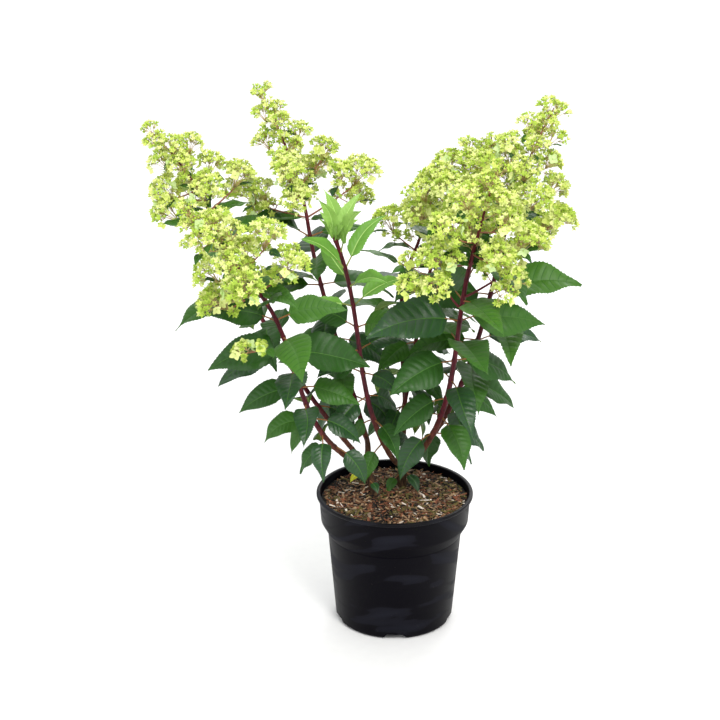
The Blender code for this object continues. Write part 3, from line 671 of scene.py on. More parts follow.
def bezier(points, t):
    """The point at t, 0 to 1, of the smooth curve led by these points."""
    rest = [Vector(p) for p in points]
    while len(rest) > 1:
        rest = [a.lerp(b, t) for a, b in zip(rest, rest[1:])]
    return rest[0]


def bezier_way(points, t):
    step = 0.01
    return (bezier(points, min(1.0, t + step)) - bezier(points, max(0.0, t - step))).normalized()


def curve(points, count):
    """Places along the smooth curve, in count steps."""
    return [bezier(points, share) for share in steps(count)]


def cane_path(cane):
    return [vector_mm(p) for p in (cane.start, cane.low, cane.high, cane.top)]


def cane_radius(cane, t):
    return cane.radius * MM * (1.0 - (1.0 - CANE_TAPER) * t)


def frame_about(way, turn):
    """Two unit vectors square to way; the first is level and turned by turn from +X."""
    level = level_way(turn)
    side = (level - way * level.dot(way)).normalized()
    return side, way.cross(side).normalized()


def any_frame(way):
    """Two unit vectors square to way, from +X, or from +Y where way lies along X."""
    return frame_about(way, 0.0 if abs(way.x) < ALONG_X else math.pi / 2.0)


def loft(sections, tip=None):
    """A closed mesh over rings of equal count, flat at its start, and at its end a cap or a tip."""
    shape = bmesh.new()
    rings = [[shape.verts.new(p) for p in ring] for ring in sections]
    count = len(rings[0])
    shape.faces.new(reversed(rings[0]))
    for low, high in zip(rings, rings[1:]):
        for i in range(count):
            j = (i + 1) % count
            shape.faces.new((low[i], low[j], high[j], high[i]))
    if tip is None:
        shape.faces.new(rings[-1])
    else:
        point = shape.verts.new(tip)
        for i in range(count):
            shape.faces.new((rings[-1][i], rings[-1][(i + 1) % count], point))
    bmesh.ops.triangulate(shape, faces=shape.faces[:])
    return shape


def tree_of(shape):
    """A tree for tests of touching, in place of the shape."""
    tree = BVHTree.FromBMesh(shape)
    shape.free()
    return tree


def node_tree(name):
    """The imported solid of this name, for tests of touching."""
    shape = bmesh.new()
    shape.from_mesh(frame["nodes"][name].data)
    return tree_of(shape)


def round_ring(centre, way, radius, sides):
    """Corners of a round section square to way."""
    side, other = any_frame(way)
    angles = [2.0 * math.pi * i / sides for i in range(sides)]
    return [centre + radius * (side * math.cos(a) + other * math.sin(a)) for a in angles]


def twig(start, end, start_radius, end_radius):
    """A thin straight stalk."""
    way = (end - start).normalized()
    return loft([
        round_ring(start, way, start_radius, STALK_SIDES),
        round_ring(end, way, end_radius, STALK_SIDES),
    ])


def arc(centre, radius, start, end, count):
    """Points of a round corner in the (radius, height) plane, angles in degrees."""
    angles = [math.radians(between(start, end, share)) for share in steps(count)]
    return [(centre[0] + radius * math.cos(a), centre[1] + radius * math.sin(a)) for a in angles]


def wall_radius(height):
    """The pot's outer radius at a height, without its lip."""
    for (low, foot), (high, top) in zip(WALL_LINE, WALL_LINE[1:]):
        if height < top:
            return between(low, high, (height - foot) / (top - foot))
    return COLLAR_RADIUS


# The rule of growth, the same as in the solids


def cane_stem(cane, low, high):
    """A stretch of the cane, with its ends square to it."""
    path = cane_path(cane)
    places = [between(low, high, share) for share in steps(STEM_STEPS)]
    return loft([
        round_ring(bezier(path, t), bezier_way(path, t), cane_radius(cane, t), STEM_SIDES) for t in places
    ])


def middle_of(cane):
    """Where, along the cane, its lower leafy length ends and the upper one starts."""
    return cane.bare + (1.0 - cane.bare) * SPLIT


def path_length(path):
    places = curve(path, PATH_SAMPLES)
    return sum((b - a).length for a, b in zip(places, places[1:]))


def gap_along(cane):
    """How much of the cane's run, 0 to 1, the gap between two lengths of it is."""
    return GAP / path_length(cane_path(cane))


def leaf_side(root, heading, climb, arch):
    """The direction across a leaf: its upper face looks up, out of the crown and to the light."""
    out = root - CROWN_MIDDLE
    out.z = 0.0
    face = UP + out.normalized() * LEAF_LEAN + LEAF_LIGHT
    middle = heading * math.cos(climb - arch / 2.0) + UP * math.sin(climb - arch / 2.0)
    return middle.cross(face).normalized()


def leaf_frames(root, heading, climb, arch, stalk, length):
    """Centres and their lift and side along the stalk and the arching blade."""
    side = leaf_side(root, heading, climb, arch)
    frames = []
    place = root.copy()
    step = (stalk + length) / LEAF_FRAMES
    angle = climb
    for _ in range(LEAF_FRAMES + 1):
        way = heading * math.cos(angle) + UP * math.sin(angle)
        across = (side - way * side.dot(way)).normalized()
        frames.append((place.copy(), across.cross(way).normalized(), across))
        place = place + way * step
        angle -= arch / LEAF_FRAMES
    return frames


def leaf_at(frames, along):
    spot = along * (len(frames) - 1)
    low = min(int(spot), len(frames) - 2)
    part = spot - low
    return tuple(p.lerp(q, part) for p, q in zip(frames[low], frames[low + 1]))


def leaf_ring(centre, side, lift, half_width, half_thick, fold):
    """Left edge, under, right edge and upper side of the blade at one place."""
    rise = lift * half_width * fold
    return [
        centre - side * half_width + rise,
        centre - lift * half_thick,
        centre + side * half_width + rise,
        centre + lift * half_thick,
    ]


def leaf_shape(root, heading, climb, arch, stalk, length, fatter=1.0):
    """The plain blade that tests of touching use."""
    frames = leaf_frames(root, heading, climb, arch, stalk, length)
    total = stalk + length
    thin = PETIOLE_RADIUS * MM
    centre, lift, side = frames[0]
    sections = [leaf_ring(centre, side, lift, thin, thin, 0.0)]
    for share, width in LEAF_STATIONS:
        centre, lift, side = leaf_at(frames, (stalk + share * length) / total)
        thick = thin if share == 0.0 else LEAF_THICK * length * 0.5 * fatter
        half = width * length * fatter
        sections.append(leaf_ring(centre, side, lift, max(half, thin), thick, LEAF_FOLD))
    return loft(sections, frames[-1][0])


def leaf_length(cane, number, draw):
    """Smaller at the foot of the cane and towards its top."""
    share = (number + 0.5) / cane.pairs
    bell = LEAF_SHORT + (1.0 - LEAF_SHORT) * math.sin(math.pi * share ** LEAF_SWELL)
    size = cane.leaf * bell * draw.uniform(1.0 - LEAF_VARY, 1.0 + LEAF_VARY)
    return max(LEAF_LEAST, size) * MM


def leaf_nodes(cane):
    """For each leaf, in pairs: place along the cane, turn, climb, arch and length."""
    draw = random.Random(cane.seed)
    nodes = []
    for number in range(cane.pairs):
        share = (number + FIRST_PAIR) / cane.pairs
        if not cane.bloom_tip:
            share = 1.0 - (1.0 - share) ** TUFT_CLOSE
        climb = between(LEAF_CLIMB_LOW, LEAF_CLIMB_HIGH, share)
        arch = between(LEAF_ARCH_LOW, LEAF_ARCH_HIGH, share)
        if not cane.bloom_tip:
            climb += TUFT_CLIMB * share ** 3
            arch += (TUFT_ARCH - arch) * share ** 3
        turn = math.radians(cane.turn + 90 * number) + draw.uniform(-LEAF_SWAY, LEAF_SWAY)
        for half in range(2):
            size = leaf_length(cane, number, draw)
            lift = climb + draw.uniform(-LEAF_SWAY, LEAF_SWAY)
            along = cane.bare + (1.0 - cane.bare) * share
            nodes.append((along, turn + math.pi * half, lift, arch, size))
    return nodes


def place_leaf(cane, node, taken):
    """Turns, drops or shrinks a leaf until it touches nothing, or gives it up."""
    along, turn, climb, arch, size = node
    path = cane_path(cane)
    side, _ = frame_about(bezier_way(path, along), turn)
    root = bezier(path, along) + side * cane_radius(cane, along) * LEAF_ROOT
    stalk = PETIOLE * MM + cane_radius(cane, along)
    for attempt in LEAF_TRIES:
        heading = level_way(math.atan2(side.y, side.x) + attempt.swing)
        blade = (root, heading, climb + attempt.climb, arch, stalk, size * attempt.length)
        test = leaf_shape(*blade, fatter=LEAF_CLEAR)
        lowest = min(vert.co.z for vert in test.verts)
        tree = tree_of(test)
        high_enough = lowest > (MULCH_TOP + LEAF_OVER_MULCH) * MM
        if high_enough and not any(tree.overlap(other) for other in taken):
            return blade, tree
    return None


def leaves_of(cane, low, high, taken):
    """The leaves whose nodes lie between low and high, kept clear of what is there already."""
    leaves = []
    for node in leaf_nodes(cane):
        if not low <= node[0] < high:
            continue
        leaf = place_leaf(cane, node, taken + [tree for _, tree in leaves])
        if leaf:
            leaves.append(leaf)
    return leaves


def head_shape(centre, way, radius, draw):
    """The plain domed solid of a head, which tests of touching use."""
    shape = bmesh.new()
    side, other = any_frame(way)
    turn = Matrix((side, other, way)).transposed()
    bmesh.ops.create_uvsphere(shape, u_segments=HEAD_SIDES, v_segments=2, radius=1.0)
    for vert in shape.verts:
        rough = 1.0 + draw.uniform(-HEAD_ROUGH, HEAD_ROUGH)
        flat = HEAD_DOME if vert.co.z > 0.0 else HEAD_UNDER
        flat = Vector((vert.co.x, vert.co.y, vert.co.z * flat)) * rough * radius
        vert.co = centre + turn @ flat
    return shape


def spread(way, angle, turn):
    """The direction at an angle to way, turned about it."""
    side, other = any_frame(way)
    return way * math.cos(angle) + (side * math.cos(turn) + other * math.sin(turn)) * math.sin(angle)


def add_head(root, tip, way, size, radius, parent, draw, heads, share):
    """A stalk and the head on it, unless the place is taken by another head of the same cone."""
    if any((tip - other.tip).length < CROWDED * (size + other.size) for other in heads):
        return None
    face = (way + UP * HEAD_TILT).normalized()
    heads.append(Head(root, tip, face, size, radius, parent, draw.random(), share))
    return len(heads) - 1


def stalk_with_heads(root, way, length, radius, draw, heads, share):
    """One side stalk: its own head, and where it is long enough two more on forks."""
    end = root + way * length + UP * length * STALK_RISE
    shrink = 1.0 - HEAD_SHRINK * share
    size = HEAD_RADIUS * MM * shrink * draw.uniform(*HEAD_SIZE)
    parent = add_head(root, end, way, size, radius, None, draw, heads, share)
    turn = draw.uniform(0.0, math.pi)
    if parent is None or length < FORK_LEAST * MM:
        return
    for number in range(2):
        out = spread(way, FORK_ANGLE, turn + math.pi * number)
        fork = root.lerp(end, FORK_PLACE)
        tip = fork + out * length * draw.uniform(*FORK_REACH)
        size = HEAD_RADIUS * MM * shrink * draw.uniform(*FORK_SIZE)
        add_head(fork, tip, out, size, radius * FORK_THIN, parent, draw, heads, share)


def kept_heads(heads, taken):
    """The heads whose own solid, and the stalk they fork from, touch no other mass."""
    kept = {}
    for number, head in enumerate(heads):
        if head.parent is not None and head.parent not in kept:
            continue
        trees = [
            tree_of(twig(head.root, head.tip, head.radius * TWIG_ROOT, head.radius * TWIG_END)),
            tree_of(head_shape(head.tip, head.way, head.size, random.Random(head.seed))),
        ]
        if not any(tree.overlap(other) for tree in trees for _, other in taken):
            kept[number] = head
    return list(kept.values())


def bloom_path(cane):
    """The middle stalk of the flower head, which goes on from the cane."""
    path = cane_path(cane)
    tip = vector_mm(cane.bloom_tip)
    lead = path[-1] + bezier_way(path, 1.0) * (tip - path[-1]).length * LEAD
    return [path[-1], lead, tip]


def bloom_heads(cane):
    """Side stalks in crossing pairs up the middle stalk, shorter and steeper towards its tip."""
    draw = random.Random(cane.seed)
    path = bloom_path(cane)
    heads = []
    whorls = cane.bloom_whorls
    for number in range(whorls):
        share = (number + FIRST_WHORL) / whorls
        place = bezier(path, share)
        way = bezier_way(path, share)
        angle = WIDE_ANGLE + (NARROW_ANGLE - WIDE_ANGLE) * share
        for half in range(2):
            turn = math.radians(cane.turn + 90 * number + 180 * half)
            turn += draw.uniform(-WHORL_SWAY, WHORL_SWAY)
            length = cane.bloom_reach * (1.0 - share) ** CONE_POWER * draw.uniform(*STALK_REACH)
            length = max(length, STALK_LEAST) * MM
            out = spread(way, angle + draw.uniform(-STALK_SWAY, STALK_SWAY), turn)
            radius = STALK_RADIUS * MM * (1.0 - STALK_THIN * share)
            stalk_with_heads(place, out, length, radius, draw, heads, share)
    top = bezier(path, TOP_HEAD_ROOT)
    way = bezier_way(path, 1.0)
    add_head(top, path[-1], way, TOP_HEAD * MM, STALK_RADIUS * MM, None, draw, heads, 1.0)
    return heads


def side_stalk(cane, along, tip, tree):
    """Start, bend and fork of a stalk that springs square from the face of the cane."""
    centre = bezier(cane_path(cane), along)
    way = bezier_way(cane_path(cane), along)
    square = ((tip - centre) - way * (tip - centre).dot(way)).normalized()
    face, normal, _, _ = tree.ray_cast(centre + square * CAST_FROM * MM, -square)
    start = face + normal * GAP
    bend = start + normal * SIDE_SPRING * MM
    return face, bend, bend.lerp(tip, SIDE_FORK)


def side_bloom_heads(side, fork):
    """The heads of a small cluster, all from one fork."""
    draw = random.Random(side.seed)
    tip = vector_mm(side.tip)
    away = (tip - fork).normalized()
    radius = STALK_RADIUS * MM * FORK_THIN
    heads = []
    add_head(fork, tip, away, side.size * MM, radius, None, draw, heads, 0.0)
    for number in range(side.heads):
        out = spread(away, FORK_ANGLE, 2.0 * math.pi * number / side.heads)
        end = fork + out * (tip - fork).length * draw.uniform(*SIDE_REACH)
        size = side.size * MM * draw.uniform(*SIDE_SIZE)
        add_head(fork, end, out, size, radius, None, draw, heads, 0.0)
    return heads


# Materials


def rgb(red, green, blue):
    """A linear colour from red, green and blue as a screen shows them, 0 to 255."""
    return [((c / 255.0 + 0.055) / 1.055) ** 2.4 if c > 10 else c / 3294.6 for c in (red, green, blue)]


def opaque(colour):
    return (*rgb(*colour), 1.0)


def new_material(name):
    material = bpy.data.materials.new(name)
    material.use_nodes = True
    return material, material.node_tree, material.node_tree.nodes["Principled BSDF"]


def fill(tree, node, inputs):
    """Gives each input its plain value, or joins it to the output of another node."""
    for key, value in inputs.items():
        if isinstance(value, bpy.types.NodeSocket):
            tree.links.new(value, node.inputs[key])
        else:
            node.inputs[key].default_value = value


def add_node(tree, kind, inputs=None, **settings):
    made = tree.nodes.new(kind)
    for key, value in settings.items():
        setattr(made, key, value)
    fill(tree, made, inputs or {})
    return made


def own_place(tree):
    """The place on the object in its own metres."""
    return add_node(tree, "ShaderNodeTexCoord").outputs["Object"]


def height_of(tree):
    return add_node(tree, "ShaderNodeSeparateXYZ", {"Vector": own_place(tree)}).outputs["Z"]


def pulled_place(tree, stretch):
    """The place on the object; a large number in stretch packs a pattern closer along that axis."""
    pull = add_node(tree, "ShaderNodeMapping", {"Vector": own_place(tree), "Scale": stretch})
    return pull.outputs["Vector"]


def noise_over(tree, place, scale, detail, rough=NOISE_ROUGH):
    values = {"Vector": place, "Scale": scale, "Detail": detail, "Roughness": rough}
    return add_node(tree, "ShaderNodeTexNoise", values).outputs["Fac"]


def stretched_noise(tree, scale, detail, stretch=(1.0, 1.0, 1.0)):
    return noise_over(tree, pulled_place(tree, stretch), scale, detail)


def ramp(tree, source, *stops):
    """A colour that follows a value; each stop is (place, linear colour)."""
    made = add_node(tree, "ShaderNodeValToRGB", {"Fac": source})
    bar = made.color_ramp.elements
    while len(bar) < len(stops):
        bar.new(0.5)
    for element, (place, colour) in zip(bar, stops):
        element.position = place
        element.color = (*colour, 1.0)
    return made.outputs["Color"]


def levels_along(tree, source, stops):
    """A grey that follows a value; each stop is (place, level)."""
    return ramp(tree, source, *((place, (level, level, level)) for place, level in stops))


def colours_along(tree, source, stops):
    """A colour that follows a value; each stop is (place, colour as a screen shows it)."""
    return ramp(tree, source, *((place, rgb(*colour)) for place, colour in stops))


def mixed(tree, share, first, second):
    """A colour between two."""
    values = {"Factor": share, "A": first, "B": second}
    return add_node(tree, "ShaderNodeMix", values, data_type="RGBA").outputs["Result"]


def bumped(tree, height, strength, distance):
    """A normal for relief that follows a value."""
    values = {"Height": height, "Strength": strength, "Distance": distance}
    return add_node(tree, "ShaderNodeBump", values).outputs["Normal"]


def maths(tree, operation, *values):
    """The result of a sum; a value is a number, or the output of another node."""
    return add_node(tree, "ShaderNodeMath", dict(enumerate(values)), operation=operation).outputs[0]


def plant_material(name, colour, rough, grain, depth, shine):
    """A plain colour with fine relief and uneven gloss, for pieces of many small things."""
    material, tree, shader = new_material(name)
    speck = stretched_noise(tree, grain, MORE_DETAIL)
    less, more = ROUGH_SPREAD
    span = {"Value": speck, "To Min": rough + less, "To Max": rough + more}
    fill(tree, shader, {
        "Base Color": opaque(colour),
        "Specular IOR Level": shine,
        "Roughness": add_node(tree, "ShaderNodeMapRange", span).outputs["Result"],
        "Normal": bumped(tree, speck, SPECK_STRENGTH, depth),
    })
    return material


def smear_pattern(tree):
    """Long crescents that run round the pot, closer together upwards."""
    parts = add_node(tree, "ShaderNodeSeparateXYZ", {"Vector": own_place(tree)})
    turn = maths(tree, "ARCTAN2", parts.outputs["Y"], parts.outputs["X"])
    wave = maths(tree, "SINE", maths(tree, "MULTIPLY_ADD", turn, SMEAR_BOWS, SMEAR_START))
    bow = maths(tree, "MULTIPLY", wave, SMEAR_BOW)
    bend = maths(tree, "MULTIPLY", stretched_noise(tree, SMEAR_WANDER, 0.0), SMEAR_BEND)
    rise = maths(tree, "MULTIPLY_ADD", parts.outputs["Z"], SMEAR_ROWS, maths(tree, "ADD", bow, bend))
    flat = {"X": maths(tree, "MULTIPLY", turn, SMEAR_ROUND), "Y": rise}
    place = add_node(tree, "ShaderNodeCombineXYZ", flat).outputs["Vector"]
    return noise_over(tree, place, *SMEAR_NOISE)


def black_plastic(name, shine):
    """Moulded black plastic with long crescent smears, dust and a few pale specks."""
    material, tree, shader = new_material(name)
    smear = smear_pattern(tree)
    plastic = colours_along(tree, smear, SMEAR_STOPS)
    specks = levels_along(tree, stretched_noise(tree, DUST_SCALE, LITTLE_DETAIL), DUST_STOPS)
    grain = stretched_noise(tree, GRAIN_SCALE, SOME_DETAIL, GRAIN_PULL)
    fill(tree, shader, {
        "Base Color": mixed(tree, specks, plastic, opaque(DUST_COLOUR)),
        "Roughness": levels_along(tree, smear, POT_ROUGH),
        "Specular IOR Level": shine,
        "Normal": bumped(tree, grain, *POT_BUMP),
    })
    return material


def bark_material(name, dark, light, high_dark, high_light, low_z, high_z):
    """Bark in stretched streaks with pale pores, which changes its colour with height."""
    material, tree, shader = new_material(name)
    streak = stretched_noise(tree, STREAK_SCALE, FULL_DETAIL, STREAK_PULL)
    low = colours_along(tree, streak, zip(STREAK_LOW, (dark, light)))
    high = colours_along(tree, streak, zip(STREAK_HIGH, (high_dark, high_light)))
    span = {"Value": height_of(tree), "From Min": low_z, "From Max": high_z}
    rise = add_node(tree, "ShaderNodeMapRange", span).outputs["Result"]
    cells = {"Vector": pulled_place(tree, PORE_PULL), "Scale": PORE_SCALE}
    pores = add_node(tree, "ShaderNodeTexVoronoi", cells).outputs["Distance"]
    dots = levels_along(tree, pores, PORE_STOPS)
    fill(tree, shader, {
        "Base Color": mixed(tree, dots, mixed(tree, rise, low, high), opaque(PORE_COLOUR)),
        "Roughness": levels_along(tree, rise, BARK_ROUGH),
        "Specular IOR Level": BARK_SHINE,
        "Normal": bumped(tree, streak, *BARK_BUMP),
    })
    return material


def mulch_material(name, dark, light):
    """One tint of shredded bark, fibrous and dry."""
    material, tree, shader = new_material(name)
    fibre = stretched_noise(tree, FIBRE_SCALE, FULL_DETAIL, FIBRE_PULL)
    fill(tree, shader, {
        "Base Color": colours_along(tree, fibre, zip(FIBRE_SPAN, (dark, light))),
        "Roughness": DRY_ROUGH,
        "Normal": bumped(tree, fibre, *MULCH_BUMP),
    })
    return material


def floor_material():
    """Matt pale studio paper."""
    material, tree, shader = new_material("studio_floor")
    fibre = stretched_noise(tree, PAPER_SCALE, SOME_DETAIL)
    fill(tree, shader, {"Base Color": levels_along(tree, fibre, PAPER_STOPS), "Roughness": DRY_ROUGH})
    return material


def make_materials():
    made = {name: plant_material(name, *values) for name, values in PLANT_COLOURS.items()}
    made.update({name: mulch_material(name, *tints) for name, tints in MULCH_TINTS.items()})
    made.update({name: black_plastic(name, shine) for name, shine in POT_SHINE.items()})
    made.update({name: bark_material(name, *values) for name, values in BARKS.items()})
    return made


MATERIALS = make_materials()
LOOKS = list(MATERIALS)


def look(name):
    return LOOKS.index(name)


# Joining many small things into one piece


def new_object(name, data):
    made = bpy.data.objects.new(name, data)
    bpy.context.scene.collection.objects.link(made)
    return made


def paint(mesh, names):
    """Gives the mesh these materials in place of what it has."""
    mesh.materials.clear()
    for name in names:
        mesh.materials.append(MATERIALS[name])


def noise_at(x, y, z):
    return noise.noise(Vector((x, y, z)))


class Pile:
    """Triangles of many small things, which become one piece with a material for each look."""

    def __init__(self):
        self.points = []
        self.faces = []
        self.looks = []
        self.count = 0

    def add(self, points, faces, looks):
        points = np.asarray(points, dtype=float).reshape(-1, 3)
        faces = np.asarray(faces, dtype=int).reshape(-1, 3)
        self.points.append(points)
        self.faces.append(faces + self.count)
        self.looks.append(np.broadcast_to(looks, len(faces)))
        self.count += len(points)

    def add_copies(self, points, faces, looks):
        """Many copies of one small shape, their points one row for each copy."""
        first = np.arange(len(points)) * points.shape[1]
        self.add(points, faces[None] + first[:, None, None], looks)

    def make(self, name, slot, nodes, sharp=None):
        """The joined piece, which rides with the pot and stands for the nodes."""
        mesh = bpy.data.meshes.new(name)
        mesh.from_pydata(np.concatenate(self.points).tolist(), [], np.concatenate(self.faces).tolist())
        looks = np.concatenate(self.looks)
        used = np.unique(looks)
        paint(mesh, [LOOKS[number] for number in used])
        mesh.polygons.foreach_set("material_index", np.searchsorted(used, looks).astype(np.int32))
        mesh.shade_smooth()
        if sharp:
            mesh.set_sharp_from_angle(angle=math.radians(sharp))
        mesh.update()
        return finish_piece(new_object(name, mesh), nodes)


def finish_piece(made, nodes):
    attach(made, "root")
    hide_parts(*nodes)
    return made


def unit(vectors):
    return vectors / np.linalg.norm(vectors, axis=-1, keepdims=True)


def frames_facing(ways, turns):
    """For each direction, the matrix whose third column it is, turned about it."""
    helper = np.where(np.abs(ways[:, :1]) < ALONG_X, [[1.0, 0.0, 0.0]], [[0.0, 1.0, 0.0]])
    side = unit(np.cross(ways, helper))
    other = np.cross(ways, side)
    cos, sin = np.cos(turns)[:, None], np.sin(turns)[:, None]
    return np.stack([side * cos + other * sin, other * cos - side * sin, ways], axis=2)


def frame_facing(way, turn):
    return frames_facing(way[None], np.array([turn]))[0]


def scatter(pile, points, faces, places, frames, sizes, looks):
    """Copies of one small shape; looks is one row of face looks for each copy."""
    sizes = np.asarray(sizes, dtype=float).reshape(len(places), 1, -1)
    moved = np.einsum("nij,npj->npi", frames, points[None] * sizes) + places[:, None]
    pile.add_copies(moved, faces, np.broadcast_to(looks, (len(places), len(faces))).ravel())


def prism(sides):
    """A closed prism of unit length and radius along its third axis, for thin stalks."""
    angles = 2.0 * math.pi * np.arange(sides) / sides
    ring = np.stack([np.cos(angles), np.sin(angles)], axis=1)
    faces = []
    for i in range(sides):
        j = (i + 1) % sides
        faces += [(i, j, sides + j), (i, sides + j, sides + i)]
    for i in range(1, sides - 1):
        faces += [(0, i + 1, i), (sides, sides + i, sides + i + 1)]
    return ring, np.array(faces)


def spokes(pile, start, ends, start_radius, end_radius, name):
    """Thin straight stalks from one place to each end, their radii in millimetres."""
    ends = np.asarray(ends, dtype=float)
    starts = np.broadcast_to(np.asarray(start, dtype=float), ends.shape)
    ring, faces = prism(STALK_SIDES)
    frames = frames_facing(unit(ends - starts), np.zeros(len(ends)))
    flat = np.einsum("nij,pj->npi", frames[:, :, :2], ring)
    first = starts[:, None] + flat * (start_radius * MM)
    second = ends[:, None] + flat * (end_radius * MM)
    pile.add_copies(np.concatenate([first, second], axis=1), faces, look(name))


def tube(pile, places, radii, sides, looks, relief=None):
    """A round limb through the places, its rings turned as little as can be."""
    places = np.asarray([tuple(p) for p in places], dtype=float)
    ways = unit(np.gradient(places, axis=0))
    side = np.cross(ways[0], ASIDE)
    rings = []
    angles = 2.0 * math.pi * np.arange(sides) / sides
    for number, (place, way, radius) in enumerate(zip(places, ways, radii)):
        side = side - way * np.dot(side, way)
        side = side / np.linalg.norm(side)
        other = np.cross(way, side)
        out = np.cos(angles)[:, None] * side + np.sin(angles)[:, None] * other
        swell = np.ones(sides) if relief is None else relief(number, place + out * radius)
        rings.append(place + out * (radius * swell)[:, None])
    points = np.concatenate(rings + [places[:1], places[-1:]])
    starts = np.arange(len(places) - 1)[:, None] * sides
    i = np.arange(sides)[None]
    j = (i + 1) % sides
    low, high = starts + i, starts + sides + i
    low_next, high_next = starts + j, starts + sides + j
    walls = np.concatenate([
        np.stack([low, low_next, high_next], axis=2).reshape(-1, 3),
        np.stack([low, high_next, high], axis=2).reshape(-1, 3),
    ])
    last = (len(places) - 1) * sides
    first_cap = np.stack([j[0], i[0], np.full(sides, len(points) - 2)], axis=1)
    last_cap = np.stack([last + i[0], last + j[0], np.full(sides, len(points) - 1)], axis=1)
    pile.add(points, np.concatenate([walls, first_cap, last_cap]), looks)


# The pot and what fills it


def pot_outline():
    """From the middle of the floor up the inside, over the lip, down the outside and under the base."""
    floor_high = GROOVE_HEIGHT + FLOOR
    lip_top = POT_HEIGHT - LIP_ROUND
    lip_foot = POT_HEIGHT - LIP_DEPTH
    foot = BASE_RADIUS - BASE_ROUND
    return [
        (0.0, FLOOR),
        (PAD_RADIUS - WALL, FLOOR),
        (PAD_RADIUS - WALL, floor_high),
        (wall_radius(floor_high) - WALL, floor_high),
        (BODY_TOP_RADIUS - WALL, BODY_TOP_HEIGHT),
        (COLLAR_FOOT_RADIUS - WALL, COLLAR_FOOT_HEIGHT),
        *arc((COLLAR_RADIUS - WALL + LIP_ROUND, lip_top), LIP_ROUND, 180, 90, ROUND_STEPS),
        *arc((LIP_RADIUS - LIP_ROUND, lip_top), LIP_ROUND, 90, 0, ROUND_STEPS),
        *arc((LIP_RADIUS - LIP_ROUND, lip_foot + LIP_ROUND), LIP_ROUND, 0, -90, ROUND_STEPS),
        *arc((COLLAR_RADIUS + LIP_ROUND, lip_foot - LIP_ROUND), LIP_ROUND, 90, 180, UNDER_STEPS),
        *rounded([
            (COLLAR_RADIUS, lip_foot - LIP_ROUND),
            (COLLAR_FOOT_RADIUS, COLLAR_FOOT_HEIGHT),
            (BODY_TOP_RADIUS, BODY_TOP_HEIGHT),
            (wall_radius(BASE_ROUND), BASE_ROUND),
        ], SHOULDER_ROUND),
        *arc((foot, BASE_ROUND), BASE_ROUND, 0, -90, ROUND_STEPS),
        (foot - SKIRT_WALL, 0.0),
        (foot - SKIRT_WALL, GROOVE_HEIGHT),
        (PAD_RADIUS + WALL, GROOVE_HEIGHT),
        (PAD_RADIUS + WALL, 0.0),
        (0.0, 0.0),
    ]


def rounded(corners, size):
    """The same corners, the inner ones rounded by a smooth curve that starts size before them."""
    points = []
    for before, corner, after in zip(corners, corners[1:], corners[2:]):
        corner = Vector(corner)
        start = corner + (Vector(before) - corner).normalized() * size
        end = corner + (Vector(after) - corner).normalized() * size
        points += [tuple(point) for point in curve([start, corner, end], ROUND_STEPS)]
    return points


def turned(name, outline, count):
    """A mesh object of revolution; the outline's outer side runs from top to bottom."""
    shape = bmesh.new()
    points = [shape.verts.new((r * MM, 0.0, z * MM)) for r, z in outline]
    for a, b in zip(points, points[1:]):
        shape.edges.new((a, b))
    made = new_object(name, bpy.data.meshes.new(name))
    shape.to_mesh(made.data)
    shape.free()
    spin = made.modifiers.new("turn", "SCREW")
    spin.steps = count
    spin.render_steps = count
    spin.use_merge_vertices = True
    spin.merge_threshold = MERGE * MM
    return made


def notch_cutter(number):
    """A low trapezium through the pot's skirt, at the front for number 0."""
    half = NOTCH_WIDTH / 2.0
    outline = (
        (-half, -NOTCH_SPARE), (-half, 0.0), (-half + NOTCH_SLOPE, NOTCH_HEIGHT),
        (half - NOTCH_SLOPE, NOTCH_HEIGHT), (half, 0.0), (half, -NOTCH_SPARE),
    )
    depths = (-BASE_RADIUS - NOTCH_SPARE, NOTCH_IN - BASE_RADIUS)
    shape = loft([[Vector((x, y, z)) * MM for x, z in outline] for y in depths])
    bmesh.ops.recalc_face_normals(shape, faces=shape.faces[:])
    cutter = new_object(f"notch_{number}", bpy.data.meshes.new(f"notch_{number}"))
    shape.to_mesh(cutter.data)
    shape.free()
    cutter.rotation_euler.z = 2.0 * math.pi * number / NOTCHES
    return cutter


def apply_modifiers(made):
    """The object's mesh as its modifiers leave it."""
    bpy.context.view_layer.update()
    graph = bpy.context.evaluated_depsgraph_get()
    mesh = bpy.data.meshes.new_from_object(made.evaluated_get(graph))
    made.modifiers.clear()
    made.data = mesh
    return mesh


def pot_part(place):
    """Which of the pot's looks a place on it has: 0 body, 1 shoulder, 2 lip."""
    if place.z > (POT_HEIGHT - LIP_DEPTH - LIP_ROUND) * MM:
        return 2
    on_shoulder = (BODY_TOP_HEIGHT - SHOULDER_ROUND) * MM < place.z < COLLAR_FOOT_HEIGHT * MM
    return 1 if on_shoulder else 0


def make_pot():
    pot = turned("nursery_pot", pot_outline(), POT_STEPS)
    cutters = [notch_cutter(number) for number in range(NOTCHES)]
    for cutter in cutters:
        cut = pot.modifiers.new(cutter.name, "BOOLEAN")
        cut.operation = "DIFFERENCE"
        cut.solver = "EXACT"
        cut.object = cutter
    mesh = apply_modifiers(pot)
    for cutter in cutters:
        bpy.data.objects.remove(cutter, do_unlink=True)
    paint(mesh, POT_SHINE)
    for face in mesh.polygons:
        face.material_index = pot_part(face.center)
    mesh.shade_smooth()
    mesh.set_sharp_from_angle(angle=POT_SHARP)
    finish_piece(pot, ["pot"])


def bed_height(x, y):
    """The mulch's uneven upper side."""
    lumps = noise.noise(Vector((x, y, 0.0)) * BED_LUMPS)
    grains = noise.noise(Vector((x, y, 1.0)) * BED_GRAINS)
    return (MULCH_TOP - BED_SINK + BED_ROUGH * (lumps + 0.5 * grains)) * MM


